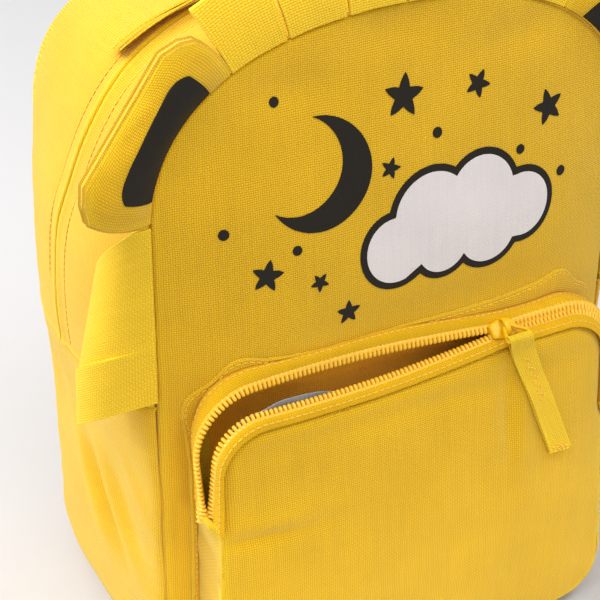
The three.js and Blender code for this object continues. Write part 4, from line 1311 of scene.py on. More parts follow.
class BACKPACK_OT_pocket_zip(bpy.types.Operator):
    """Makes the pocket's zip: two tapes, each with a row of coiled teeth sewn to it"""

    bl_idname = "backpack.pocket_zip"
    bl_label = "Pocket Zip"

    def tape(self, label, half, other, seam):
        run = np.linspace(0, 1, 321)
        spot, _, out, _ = zip_frame(run, half, other, seam)
        start, end = seam(run), spot - 0.2 * out
        across = np.linspace(0, 1, 15)[:, None, None]
        _, _, out_x, out_z = POCKET_TRACK.at(over_top(ZIP_SHARE, run))
        bow = stack(out_x, -0.5, out_z)
        points = lerp(start, end, across)
        points = points + bow * TAPE_SWELL[label] * np.sin(np.pi * across) ** 0.8
        if label == "lower":  # its sewn edge is turned in
            turned = np.linspace(1, 0, 6)[:-1, None, None] * np.array((0.0, 5.0, 2.0))
            points = np.concatenate((start + turned, points))
        facing = np.sign(np.sum(grid_normals(points) * bow))
        inner = thicken(points, facing)
        add_sheet(f"pocket_tape_{label}", points, inner, "knitted_tape", "zip_tape")
        stitch_row = -11
        normals = facing * grid_normals(points)[stitch_row]
        return points[stitch_row] + 0.1 * normals, normals

    def coil(self, label, half, other, seam):
        pitch = chosen()[1].tooth_pitch / MM
        gone = lengths(track_point(RUNS, half))
        at = np.arange(TOOTH_SHIFT[label] * pitch, gone[-1], pitch)
        spot, along, out, up = zip_frame(np.interp(at, gone, RUNS), half, other, seam)
        teeth = scatter(f"pocket_teeth_{label}", spindle(TOOTH, 8), [(spot, out, along, up)],
                        "nylon_coil")
        add_piece(teeth, "zip_coil", f"pocket_coil_{label}")
        spot, _, out, up = zip_frame(RUNS[::2], half, other, seam)
        loops = round_loops(spot - COIL_CORE * out, out, up, COIL_CORE, 8)
        add_piece(tube(f"pocket_coil_core_{label}", loops, "nylon_coil"), "zip_coil")
        lines = [(spot - 1.5 * out + side * 1.05 * up, side * up) for side in (1, -1)]
        sew(f"pocket_coil_stitches_{label}", lines, "zip_tape", pitch, 0.9)

    def execute(self, context):
        lines = []
        for label, sides in ZIP_HALVES.items():
            lines.append(self.tape(label, **sides))
            self.coil(label, **sides)
        sew("pocket_tape_stitches", lines, "zip_tape")
        return {"FINISHED"}


# Folded tapes

def surface_frame(centre, d, a):
    """Points of a surface and its normals, where d runs along it and a across."""
    step = 0.2
    along = centre(d + step, a) - centre(d - step, a)
    across = centre(d, a + step) - centre(d, a - step)
    return centre(d, a), unit(np.cross(across, along))


def folded_strip(name, centre, width, path, layer, columns=15):
    """A strip of webbing that follows a path of (length, height) over a centre surface.
    The path runs so that the inside of its fold lies to its right."""
    turn = unit(np.gradient(path, axis=0))
    inside = path + layer * stack(turn[:, 1], -turn[:, 0])
    a = np.linspace(-width / 2, width / 2, columns)[None, :]
    grids = []
    for line in (path, inside):
        points, normals = surface_frame(centre, line[:, :1] + 0 * a, a + 0 * line[:, :1])
        grids.append(points + normals * line[:, 1, None, None])
    gone = lengths(path)[:, None]
    to_edge = width / 2 - np.abs(a) + 0 * gone
    # Long edges and the fold's tip are paler: wear with a painted highlight, strongest on the fold.
    wear_and_painted_light = 0.12 * ridge(to_edge, 1.0) + 0.4 * ridge(gone - gone[-1] / 2, 1.0)
    return wall(name, *grids, "ribbed_webbing", stack(a, gone), wear_and_painted_light)


def fold_path(length, height):
    """Out along one layer, round the fold, and back along the other."""
    out = np.linspace(0, length - height, 26)
    bend = np.radians(np.linspace(90, -90, 11)[1:-1])
    tip = stack(length - height + height * np.cos(bend), height * np.sin(bend))
    return np.concatenate((stack(out, height), tip, stack(out[::-1], -height)))


def seam_root(share):
    """Where a piece sewn into the front seam comes out of it."""
    x, z, out_x, out_z = FRONT_OUTLINE.at(share)
    return stack(x + out_x * 0.2, FRONT - 0.6, z + out_z * 0.2), stack(out_x, 0, out_z)


class BACKPACK_OT_tabs(bpy.types.Operator):
    """Folds the webbing tabs and sets them into the front seam"""

    bl_idname = "backpack.tabs"
    bl_label = "Tabs"

    def tab(self, node, start, end, reach, length):
        width = abs(seam_length(end) - seam_length(start))
        thick = TAB_LAYER + TAB_GAP / 2

        def centre(d, a):
            u = a / width + 0.5
            root, out = seam_root(lerp(start, end, u))
            return reach(root, out, u, d / length)

        path = fold_path(length, thick)
        mesh = folded_strip(node + "_webbing", centre, width, path, TAB_LAYER, 25)
        add_piece(mesh, "webbing", node)

    def execute(self, context):
        high = FRONT_OUTLINE.share_at(EAR_HIGH)

        def standing(root, out, u, v):
            lean = stack(0 * v, TOP_TAB_LEAN * v * np.abs(v) + 1.0, 0 * v)
            return root + out * (TOP_TAB_LENGTH * v)[..., None] + lean

        for i in range(TOP_TABS):
            start = float(over_top(high, (i + TAB_SPACE) / TOP_TABS))
            end = float(over_top(high, (i + 1 - TAB_SPACE) / TOP_TABS))
            self.tab(f"mane_tab_top_{i + 1}", start, end, standing, TOP_TAB_LENGTH)
        for label, side in SIDES.items():
            for row, ends in SIDE_TABS.items():
                self.side_tab(side, f"mane_tab_{label}_{row}", ends)
        return {"FINISHED"}

    def side_tab(self, side, node, ends):
        top, bottom = np.array(ends["top"], float), np.array(ends["bottom"], float)

        def falling(root, out, u, v):
            share = u if side < 0 else 1 - u
            reach = lerp(bottom, top, share[..., None])
            bend = v * np.abs(v)
            turn = np.sin(np.clip(v, 0, 1.2) * np.pi / 2) ** 0.9 + np.minimum(v, 0)
            move = stack(side * reach[..., 1] * turn, reach[..., 2] * bend + 0.8,
                         -reach[..., 3] * bend)
            return root + move

        low = side * FRONT_OUTLINE.share_at(bottom[0])
        high = side * FRONT_OUTLINE.share_at(top[0])
        start, end = (low, high) if side < 0 else (high, low)
        length = float(np.mean([np.linalg.norm(row[1:]) for row in (top, bottom)]))
        self.tab(node, start, end, falling, length)


# Ears

class Ear:
    """Face of a padded ear whose foot follows the front seam and whose sides flare."""

    def __init__(self, side):
        self.side = side
        self.low = FRONT_OUTLINE.share_at(EAR_LOW)
        self.high = FRONT_OUTLINE.share_at(EAR_HIGH)
        start, end = self.foot(np.array(0.0))[0], self.foot(np.array(1.0))[0]
        self.along = unit(end - start)
        self.half = np.linalg.norm(end - start) / 2
        self.out = side * np.array((self.along[2], 0, -self.along[0]))
        self.middle = (start + end) / 2

    def foot(self, u):
        return seam_root(self.side * lerp(self.low, self.high, u))

    def face(self, u, v):
        c = 2 * u - 1
        base = self.foot(u)[0]
        crown = EAR_HEIGHT - EAR_TILT * u - EAR_ROUND * np.maximum(np.abs(c) - 0.8, 0) / 0.2
        tip = self.middle + self.along * (self.half * c)[..., None] + self.out * crown[..., None]
        flare = np.sin(np.pi / 2 * np.minimum(v / 0.7, 1)) ** 0.8
        flare = flare - 0.6 * np.maximum(v - 0.82, 0) / 0.18
        flare = flare * EAR_FLARE * c * lerp(1, 0.6, u)
        cup = EAR_CUP * np.sin(np.pi * np.clip(v, 0, 1)) ** 0.8 * (1 - c * c) ** 0.6
        points = lerp(base, tip, v[..., None]) + self.along * flare[..., None]
        points[..., 1] -= cup + 0.4
        return points


class BACKPACK_OT_ears(bpy.types.Operator):
    """Sews the two padded ears with their piped rim and black patch"""

    bl_idname = "backpack.ears"
    bl_label = "Ears"

    def pad(self, ear, label):
        u, v = np.meshgrid(crowd(81, 0.5), crowd(53, 0.5))
        face = ear.face(u, v)
        edge = inset(face, foot=False)
        filled = smoothstep(edge, 0, 11) * smoothstep(v * EAR_HEIGHT, -4, 12)
        front = face + stack(0 * u, roll(edge, 0.8) - EAR_FACE * filled, 0 * u)
        rim = lerp(EAR_FOOT, EAR_EDGE, smoothstep(v * EAR_HEIGHT, 2, 16))
        back = face + stack(0 * u, lerp(rim, EAR_PAD, filled) - roll(edge, 0.8), 0 * u)
        front[..., 1] += 0.25 * ripple(u * 70, v * 35, 12, 81) * smoothstep(edge, 0, 6)
        across = stack((u - 0.5) * 2 * ear.half, v * EAR_HEIGHT)
        # The turned rim is paler: wear with a painted highlight.
        mesh = wall(f"ear_{label}_pad", front, back, "oxford_cloth", across,
                    0.16 * ridge(edge - 2.0, 1.4))
        piece = add_piece(mesh, "body_cloth", f"ear_{label}")
        sewn = (edge < 2) | (v < 0.08)
        film = (np.abs(u - PATCH_MIDDLE) < PATCH_HALF + 0.025) & (v < PATCH_HIGH + 0.06)
        settle(piece, np.concatenate(((sewn | film).ravel(), sewn.ravel())), 2.0)
        return front, back

    def piping(self, front, back, label):
        """Two narrow ridges where the front and back cloths are turned and sewn."""
        rim = [np.concatenate((grid[2:, 0], grid[-1, 1:-1], grid[:1:-1, -1]))
               for grid in (front, back)]
        ridges = []
        for share in (0.1, 0.9):
            line = curve_through(lerp(*rim, share)[::2], 221)
            out = unit(np.cross(unit(np.gradient(line, axis=0)), BEHIND))
            if np.sum(out * (line - line.mean(axis=0))) < 0:
                out = -out
            ridges.append(tube("ridge", round_loops(line, out, BEHIND, 0.8, 10), "oxford_cloth"))
        add_piece(join_meshes(f"ear_{label}_piping", ridges), "body_cloth")

    def patch(self, ear, label):
        """The black film pressed on the ear's face, from the seam up."""
        c = np.linspace(-1, 1, 61)[None, :]
        rise = np.linspace(0, 1, 37)[:, None]
        top = PATCH_HIGH * (1 + 0.11 * c) * (1 - 0.25 * np.abs(c) ** 8)
        v = lerp(PATCH_LOW, top, rise)
        u = PATCH_MIDDLE + PATCH_HALF * c + 0 * rise
        face = ear.face(u, v)
        filled = smoothstep(v * EAR_HEIGHT, -4, 12)
        points = face - stack(0 * u, EAR_FACE * filled + 0.45, 0 * u)
        across = stack((u - 0.5) * 2 * ear.half, v * EAR_HEIGHT)
        mesh = wall(f"ear_{label}_patch", points, points + (0, 0.7, 0), "film_black", across)
        add_piece(mesh, "transfer_film")

    def execute(self, context):
        for label, side in SIDES.items():
            ear = Ear(side)
            front, back = self.pad(ear, label)
            self.piping(front, back, label)
            self.patch(ear, label)
        return {"FINISHED"}


# Print

def star(x, z, size, turn):
    """A five-pointed star with blunt points."""
    angle = np.radians(turn) + np.linspace(0, 2 * np.pi, 60, endpoint=False)
    phase = np.abs(((angle - np.radians(turn)) * 5 / (2 * np.pi)) % 1 - 0.5) * 2
    radius = size * lerp(0.46, 1.0, phase**1.5)
    return stack(x + radius * np.sin(angle), z + radius * np.cos(angle))


def disc(x, z, size):
    angle = np.linspace(0, 2 * np.pi, 28, endpoint=False)
    return stack(x + size * np.sin(angle), z + size * np.cos(angle))


def crescent(x, z, size, turn):
    """The part of a disc that a second disc, moved sideways, leaves over."""
    bite, aside = 0.86, 0.46
    meet = math.acos((aside**2 + 1 - bite**2) / (2 * aside))
    outer = np.linspace(meet, 2 * np.pi - meet, 60)
    far = math.atan2(math.sin(meet), math.cos(meet) - aside)
    inner = np.linspace(2 * np.pi - far, far, 44)[1:-1]
    line = np.concatenate((
        stack(np.cos(outer), np.sin(outer)),
        stack(aside + bite * np.cos(inner), bite * np.sin(inner)),
    ))
    turn = math.radians(turn)
    across = line @ np.array(((math.cos(turn), math.sin(turn)), (-math.sin(turn), math.cos(turn))))
    return across * size + (x, z)


# Puffs of the cloud, from its middle: sideways, up, radius.
CLOUD_PUFFS = ((-34, -6, 15), (-15, 7, 19), (11, 11, 17), (33, 0, 15), (14, -8, 15), (-10, -9, 13))


def cloud(x, z, grow):
    """Outline of round puffs laid over each other, grown by a margin."""
    angle = np.linspace(0, 2 * np.pi, 220, endpoint=False)
    way = stack(np.cos(angle), np.sin(angle))
    far = np.zeros_like(angle)
    for puff_x, puff_z, radius in CLOUD_PUFFS:
        middle = np.array((puff_x, puff_z), float)
        along = way @ middle
        off = (radius + grow) ** 2 - (middle @ middle - along**2)
        far = np.maximum(far, np.where(off > 0, along + np.sqrt(np.maximum(off, 0)), 0))
    return way * far[:, None] + (x, z)


CLOUD = (26, 226)  # x, z
MOON = (-44, 262, 25, 152)  # x, z, radius, turn
# x, z, radius and turn of each star
STARS = (
    (-2, 288, 10, 8), (36, 286, 6.5, 30), (-10, 258, 5.0, 20), (74, 268, 8.5, -12),
    (-70, 222, 7.5, 14), (-46, 214, 4.5, 40), (-32, 196, 6.0, 0),
)
# x, z and radius of each dot
DOTS = (
    (14, 269, 2.4), (58, 252, 2.2), (-56, 231, 2.2), (-88, 244, 2.4), (-62, 296, 2.2),
    (82, 236, 2.4),
)


class BACKPACK_OT_print(bpy.types.Operator):
    """Presses the printed film on the front panel: a cloud, a moon, stars and dots"""

    bl_idname = "backpack.print"
    bl_label = "Print"

    def shapes(self, name, outlines, lift, material):
        points, faces = [], []
        start = 0
        for outline in outlines:
            spots, cut = self.film(outline, lift)
            faces += [[start + corner for corner in face] for face in cut]
            points.append(spots)
            start += len(spots)
        points = np.concatenate(points)
        faces = facing_out(points, faces)
        mesh = make_mesh(name, points, faces, material, points[:, ::2])
        return add_piece(mesh, "transfer_film")

    def film(self, outline, lift):
        """Points and faces of a closed film that follows the panel inside an outline."""
        step = 2.6
        low, high = outline.min(axis=0), outline.max(axis=0)
        x, z = np.meshgrid(np.arange(low[0], high[0], step), np.arange(low[1], high[1], step))
        spots = np.concatenate((outline, stack(x, z).reshape(-1, 2)))
        count = len(outline)
        rim = [(i, (i + 1) % count) for i in range(count)]
        made = delaunay_2d_cdt([Vector(spot) for spot in spots], rim, [list(range(count))], 1, 1e-4)
        flat = np.array([tuple(spot) for spot in made[0]])
        top = [list(face) for face in made[2]]
        y = panel_face(flat[:, 0], flat[:, 1])
        start = len(flat)
        under = [[start + corner for corner in face[::-1]] for face in top]
        sides = {}
        for face in top:
            for a, b in zip(face, face[1:] + face[:1]):
                sides[(a, b)] = True
        walls = [[b, a, start + a, start + b] for a, b in sides if (b, a) not in sides]
        spots = np.concatenate((stack(flat[:, 0], y - lift, flat[:, 1]),
                                stack(flat[:, 0], y + 0.3, flat[:, 1])))
        return spots, top + under + walls

    def execute(self, context):
        margin = context.scene.backpack_sizes.outline_width / MM
        dark = [cloud(*CLOUD, margin), crescent(*MOON)]
        dark += [star(*row) for row in STARS] + [disc(*row) for row in DOTS]
        self.shapes("print_black", dark, 0.3, "film_black")
        self.shapes("print_white", [cloud(*CLOUD, 0)], 0.5, "film_white")
        return {"FINISHED"}


# Sliders and pulls

def place(points, spot, x, up):
    """Moves local points to a spot, with its own x and its z towards a given side."""
    x = unit(np.asarray(x, float))
    y = unit(np.cross(up, x))
    return spot + points @ np.stack((x, y, np.cross(x, y)))


def slider_outline(long, wide):
    """Outline of a slider's plate: a round nose at one end and a narrower tail."""
    share = np.linspace(0, 0.997, 30)
    nose = np.sqrt(1 - (np.maximum(share - 0.6, 0) / 0.4) ** 2)
    tail = 1 - 0.3 * (1 - np.minimum(share / 0.09, 1)) ** 2
    half = wide / 2 * lerp(0.74, 1.0, smoothstep(share, 0, 0.55)) * nose * tail
    x = long * (share - 0.5)
    return np.concatenate((stack(x, half), stack(x, -half)[::-1]))


# Rounded section of a slider's plate: height from its flange's foot, 0, to its top, 1; scale.
PLATE_LEVELS = (
    (0, 0.92), (0.06, 0.97), (0.16, 1.0), (0.62, 1.0), (0.8, 0.97), (0.93, 0.88), (1, 0.74),
)


def slider_plate(name, long, wide, foot, top, seat):
    outline = slider_outline(long, wide)
    loops = [stack(outline[:, 0] * scale, outline[:, 1] * scale, lerp(foot, top, level))
             for level, scale in PLATE_LEVELS]
    return tube(name, place(np.array(loops), *seat), "baked_enamel", crease=60)


def slider_bridge(name, base, turned, seat):
    """The arch on a slider that holds its pull."""
    angle = np.linspace(-0.12, np.pi + 0.12, 29)[:, None]
    around = ring_angles(12)
    radius = BRIDGE_RADIUS + 0.55 * np.cos(around)
    along, up = radius * np.cos(angle), base + 0.82 * radius * np.sin(angle)
    across = 1.35 * np.sin(around) + 0 * angle
    loops = stack(across, along, up) if turned else stack(along, across, up)
    return tube(name, place(loops, *seat), "baked_enamel", crease=60)


RING_LENGTH = 11.0
RING_BAR = 15.0
RING_NOSE = 3.9
RING_WIRE = 1.9


def ring_line():
    """Centre line of the pull's ring: a narrow nose at the bridge and a wide bar."""
    nose, half = RING_NOSE - RING_WIRE / 2, (RING_BAR - RING_WIRE) / 2
    end = RING_LENGTH - RING_WIRE / 2
    corner = 2.2
    arcs = (arc(RING_NOSE, 0, nose, 115, 245), arc(end - corner, -half + corner, corner, -75, 0),
            arc(end - corner, half - corner, corner, 0, 75))
    line = np.concatenate((*arcs, arcs[0][:1]))
    return walk(line, np.linspace(0, lengths(line)[-1], 121))[:-1]


def pull_ring(name, seat):
    line = ring_line()
    along = unit(np.roll(line, -1, axis=0) - np.roll(line, 1, axis=0))
    angle = ring_angles(12)
    wire = RING_WIRE / 2
    loops = stack(line[:, :1] + wire * np.cos(angle) * along[:, 1:],
                  line[:, 1:] - wire * np.cos(angle) * along[:, :1],
                  wire * np.sin(angle))
    return tube(name, place(loops, *seat), "baked_enamel", closed=True, crease=80)


def pull_path(length, apart, loop, spread=0.0):
    """Up the back layer of a doubled tape, round the ring's bar, and down the front layer,
    whose free end may lift by a spread."""
    d = np.linspace(length - 1.5, 0, 40)
    back = stack(d, -lerp(loop, apart, smoothstep(d, 0, 9)))
    angle = np.radians(np.linspace(-90, 90, 13)[1:-1])
    turn = stack(-loop * np.cos(angle), loop * np.sin(angle))
    d = np.linspace(0, length, 42)
    rise = lerp(loop, apart, smoothstep(d, 0, 9)) + spread * smoothstep(d, 6, length)
    return np.concatenate((back, turn, stack(d, rise)))


def zigzag(centre, start, end, half, step, height):
    """A zigzag line of stitches at a height over a tape's centre, or under it if negative."""
    d = np.arange(start, end, step)
    a = half * np.where(np.arange(len(d)) % 2, 1, -1)
    fine = np.linspace(0, len(d) - 1, 8 * len(d))
    d, a = (np.interp(fine, np.arange(len(d)), axis) for axis in (d, a))
    points, normals = surface_frame(centre, d, a)
    return points + normals * height, normals * np.sign(height)


class BACKPACK_OT_pocket_pull(bpy.types.Operator):
    """Casts the pocket's slider and ring and loops its tape pull"""

    bl_idname = "backpack.pocket_pull"
    bl_label = "Pocket Pull"

    def execute(self, context):
        before, spot, after = (
            (track_point(SLIDER_RUN + step, UPPER) + track_point(SLIDER_RUN + step, LOWER)) / 2
            for step in (-0.02, 0, 0.02)
        )
        seat = (spot, after - before, (0, -0.6, 0.8))
        top = CHANNEL + SLIDER_PLATE
        parts = [
            slider_plate("upper", 14, 10, 0.5, top, seat),
            slider_plate("lower", 14, 10, -0.5, -top, seat),
            slider_bridge("bridge", top - 0.4, True, seat),
        ]
        add_piece(join_meshes("pocket_slider_cast", parts), "slider_enamel", "pocket_slider")
        lying = unit(np.array((0.2, -0.85, -0.2)))
        eye = place(np.array((0, 0, top + 1.4)), *seat) - lying * RING_WIRE / 2
        ring_seat = (eye, lying, (0, -0.35, 0.8))
        ring = pull_ring("pocket_pull_ring_cast", ring_seat)
        add_piece(ring, "slider_enamel", "pocket_pull_ring")
        bar = place(np.array((RING_LENGTH - RING_WIRE / 2, 0, 0)), *ring_seat)

        def centre(d, a):
            down = d * math.cos(math.atan(PULL_LEAN))
            x = bar[0] + PULL_LEAN * down + a
            z = bar[2] - down + 0 * a
            face = pocket_depth(x, np.minimum(z, bar[2] - 6)) - 1.9
            y = lerp(bar[1], face, smoothstep(d, -2, 0.3 * PULL_LENGTH))
            return stack(x, y, z)

        apart = 0.62 + PULL_LAYER / 2
        path = pull_path(POCKET_PULL_LENGTH, apart, loop=2.0)
        tape = folded_strip("pocket_pull_tape", centre, PULL_WIDTH, path, PULL_LAYER)
        add_piece(tape, "webbing", "pocket_pull")
        height = -(apart + 0.15)  # on the outer side
        end = POCKET_PULL_LENGTH - 0.5
        rows = [zigzag(centre, 13, 40, 2.0, 2.6, height),
                zigzag(centre, end - 4, end, 4.8, 1.3, height)]
        sew("pocket_pull_stitches", rows, "webbing", 2.2, 1.3)
        return {"FINISHED"}


class BACKPACK_OT_main_pulls(bpy.types.Operator):
    """Casts the main zip's two sliders and loops their tape pulls"""

    bl_idname = "backpack.main_pulls"
    bl_label = "Main Pulls"

    def pull(self, label, run, side):
        whole = 2 * (1 - CROSS_SHARE) * FRONT_OUTLINE.length
        depth = float(zip_at(over_top(CROSS_SHARE, run)))

        def on_band(along, aside, lift):
            share = over_top(CROSS_SHARE, run + side * along / whole)
            return band_point(share, depth + aside / DEPTH, lift)

        spot = on_band(0.0, 0.0, 0.0)
        up = unit(on_band(0.0, 0.0, 1.0) - spot)
        seat = (spot + up * (0.4 - CHANNEL), on_band(3.0, 0.0, 0.0) - on_band(-3.0, 0.0, 0.0), up)
        top = CHANNEL + SLIDER_PLATE
        parts = [slider_plate("plate", 11, 8, 0.6, top, seat),
                 slider_bridge("bridge", top - 0.4, False, seat)]
        node = f"main_slider_{label}"
        add_piece(join_meshes(node + "_cast", parts), "slider_enamel", node)

        def centre(d, a):
            v = np.clip(d / PULL_LENGTH, 0, 1)
            tilt = PULL_TILT * smoothstep(d, 2, 22)
            aside = a * np.cos(tilt) + PULL_DRIFT * v**2
            return on_band(3.6 + d, aside, 3.8 - a * np.sin(tilt))

        path = pull_path(PULL_LENGTH, apart=0.5, loop=1.2, spread=2.2)
        tape = folded_strip(f"main_pull_{label}_tape", centre, PULL_WIDTH, path, PULL_LAYER)
        add_piece(tape, "webbing", f"main_pull_{label}")
        return zigzag(centre, 9, 24, 2.4, 2.6, -0.8 * side)

    def execute(self, context):
        rows = [self.pull("left", 0.418, -1), self.pull("right", 0.475, 1)]
        sew("main_pull_stitches", rows, "webbing", 2.2)
        return {"FINISHED"}


# Straps and handle

class StrapLine:
    """One shoulder strap: its line behind the bag and the place of its adjuster."""

    def __init__(self, side):
        self.side = side
        self.line = curve_through([self.spot(row) for row in STRAP_LINE], 181)
        self.along = unit(np.gradient(self.line, axis=0))
        self.across = unit(np.cross(self.along, (0, 1, 0)))
        self.outward = unit(np.cross(self.across, self.along))
        if self.outward[:, 1].sum() < 0:
            self.outward = -self.outward
        self.down = self.along[-1]
        self.sideways = -self.across[-1]
        self.end_out = unit(np.cross(self.sideways, -self.down))
        self.foot = self.line[-1] - self.end_out * STRAP_PAD / 2

    def spot(self, row):
        return np.array((self.side * row[0], BACK_FACE + row[1], row[2]))

    def local(self, below, out):
        return self.foot + self.down * below + self.end_out * out


ADJUSTER = {"wide": 28.0, "tall": 22.0, "thick": 3.4, "side": 3.0}
ADJUSTER_BARS = ((0, 4.5), (9.5, 13), (18, 22))  # from the top edge down


class BACKPACK_OT_straps(bpy.types.Operator):
    """Sews the two padded shoulder straps with their webbing, adjusters and corner pieces"""

    bl_idname = "backpack.straps"
    bl_label = "Straps"

    def pad(self, strap, label):
        v = np.linspace(0, 1, len(strap.line))[:, None]
        u = np.linspace(-1, 1, 41)[None, :]
        half = lerp(STRAP_WIDTH, STRAP_END_WIDTH, v**3) / 2
        to_edge = half * (1 - np.abs(u))
        gone = lengths(strap.line)[:, None]
        edge = np.minimum(to_edge, np.minimum(gone, gone[-1] - gone))
        swell = smoothstep(edge, 0, 9)
        middle = strap.line[:, None] - strap.outward[:, None] * STRAP_PAD / 2
        middle = middle + strap.across[:, None] * (half * u)[..., None]
        soft = 0.25 * ripple(half * u, v * 220, 26, 91) * swell
        groove = 0.5 * ridge(edge - 5.5, 1.1)
        low = lerp(1.0, STRAP_PAD / 2, swell) - groove
        outer = middle + strap.outward[:, None] * (low + soft)[..., None]
        inner = middle - strap.outward[:, None] * low[..., None]
        uv = stack(half * u, gone)
        mesh = wall(f"strap_pad_{label}_cloth", outer, inner, "oxford_cloth", uv)
        piece = add_piece(mesh, "body_cloth", f"strap_pad_{label}")
        settle(piece, np.tile((edge < 7).ravel(), 2), 1.5)
        return middle, outer

    def binding(self, strap, middle, label):
        """Folded tape over the pad's two long edges."""
        angle = np.radians(np.linspace(-180, 180, 17)[:-1])
        loops = []
        for column, way in ((0, -1), (-1, 1)):
            line = middle[:, column]
            out = way * strap.across
            around = out[:, None] * (2.6 * np.cos(angle) - 1.6)[:, None]
            around = around + strap.outward[:, None] * (1.75 * np.sin(angle))[:, None]
            loops.append(tube(f"edge_{column}", line[:, None] + around, "ribbed_webbing"))
        add_piece(join_meshes(f"strap_binding_{label}", loops), "webbing")

    def webbing(self, strap, label):
        turn, bend = 3.5, 10.45  # round the adjuster's middle bar
        tail = strap.spot(WEB_TAIL)
        angles = np.radians(np.arange(-60, 61, 30))
        route = [tail, tail + (0, 0, 30), strap.local(27, 4.3), strap.local(bend + 2, turn)]
        route += [strap.local(bend - turn * math.cos(a), -turn * math.sin(a)) for a in angles]
        route += [strap.local(bend + 2, -turn), strap.local(27, -4.3)]
        route += [strap.spot(row) for row in WEB_FOOT]
        line = curve_through(route, 241)
        along = unit(np.gradient(line, axis=0))
        across = unit(strap.sideways - along * (along @ strap.sideways)[:, None])
        normal = np.cross(along, across)
        u = np.linspace(-WEB_WIDTH / 2, WEB_WIDTH / 2, 17)
        middle = line[:, None] + across[:, None] * u[:, None]
        sides = [middle + way * normal[:, None] * WEBBING / 2 for way in (1, -1)]
        uv = stack(u[None, :], lengths(line)[:, None])
        # The edges are paler: wear with a painted highlight.
        rub_and_highlight = 0.12 * ridge(WEB_WIDTH / 2 - np.abs(u)[None, :] + 0 * line[:, :1], 1)
        mesh = wall(f"strap_web_{label}_tape", *sides, "ribbed_webbing", uv, rub_and_highlight)
        add_piece(mesh, "webbing", f"strap_web_{label}")

    def adjuster(self, strap, label):
        """A moulded frame of two sides and three bars with rounded edges."""
        half, side, thick = ADJUSTER["wide"] / 2, ADJUSTER["side"], ADJUSTER["thick"] / 2
        columns = (-half, -half + side, half - side, half)
        rows = sorted({edge for bar in ADJUSTER_BARS for edge in bar})
        shape = bmesh.new()
        grid = [[shape.verts.new((x, -row, -thick)) for x in columns] for row in rows]
        for i in range(len(rows) - 1):
            for j in range(len(columns) - 1):
                if j == 1 and (rows[i], rows[i + 1]) not in ADJUSTER_BARS:
                    continue
                shape.faces.new((grid[i][j], grid[i + 1][j], grid[i + 1][j + 1], grid[i][j + 1]))
        raised = bmesh.ops.extrude_face_region(shape, geom=list(shape.faces))["geom"]
        bmesh.ops.translate(shape, vec=(0, 0, 2 * thick),
                            verts=[part for part in raised if isinstance(part, bmesh.types.BMVert)])
        bmesh.ops.recalc_face_normals(shape, faces=list(shape.faces))
        sharp = [edge for edge in shape.edges if edge.calc_face_angle(0) > 0.5]
        bmesh.ops.bevel(shape, geom=sharp, offset=0.7, segments=3, profile=0.5, affect="EDGES")
        shape.verts.index_update()
        points = np.array([vert.co[:] for vert in shape.verts])
        faces = [[vert.index for vert in face.verts] for face in shape.faces]
        shape.free()
        points = place(points, strap.local(0.4, 0), strap.sideways, strap.end_out)
        node = f"strap_adjuster_{label}"
        mesh = make_mesh(node + "_moulding", points, faces, "moulded_acetal")
        add_piece(mesh, "adjuster_plastic", node)

    def corner(self, strap, label):
        """The small cloth piece that holds the webbing's end in the side seam."""
        a, b, c, d = (np.array(row, float) for row in CORNER_PIECE)
        u, v = crowd(41)[None, :, None], crowd(41)[:, None, None]
        flat = lerp(lerp(a, d, u), lerp(b, c, u), v)
        edge = inset(flat)
        face = stack(strap.side * flat[..., 0], BACK_FACE + CORNER_THICK, flat[..., 1])
        face[..., 1] += 0.8 * smoothstep(edge, 1, 8) - 0.5 * ridge(edge - 3, 0.9) - roll(edge, 1.2)
        under = stack(face[..., 0], BACK_FACE + 0.3, face[..., 2])
        # Its turned edge is paler: wear with a painted highlight.
        add_sheet(f"strap_corner_{label}", face, under, uv=flat,
                  wear_and_painted_light=0.12 * ridge(edge - 1, 1))
        middle = face.mean(axis=(0, 1))
        rim = np.concatenate((face[0], face[:, -1], face[-1, ::-1], face[::-1, 0]))
        line = lerp(rim, middle, 0.17)
        line[:, 1] = BACK_FACE + CORNER_THICK + 0.3
        return line, BEHIND

    def execute(self, context):
        rows = []
        for label, side in SIDES.items():
            strap = StrapLine(side)
            middle, outer = self.pad(strap, label)
            self.binding(strap, middle, label)
            self.webbing(strap, label)
            self.adjuster(strap, label)
            rows.append(self.corner(strap, label))
            for column in (4, -5):
                rows.append((outer[4:-4, column] + strap.outward[4:-4] * 0.2, strap.outward[4:-4]))
        sew("strap_stitches", rows)
        return {"FINISHED"}


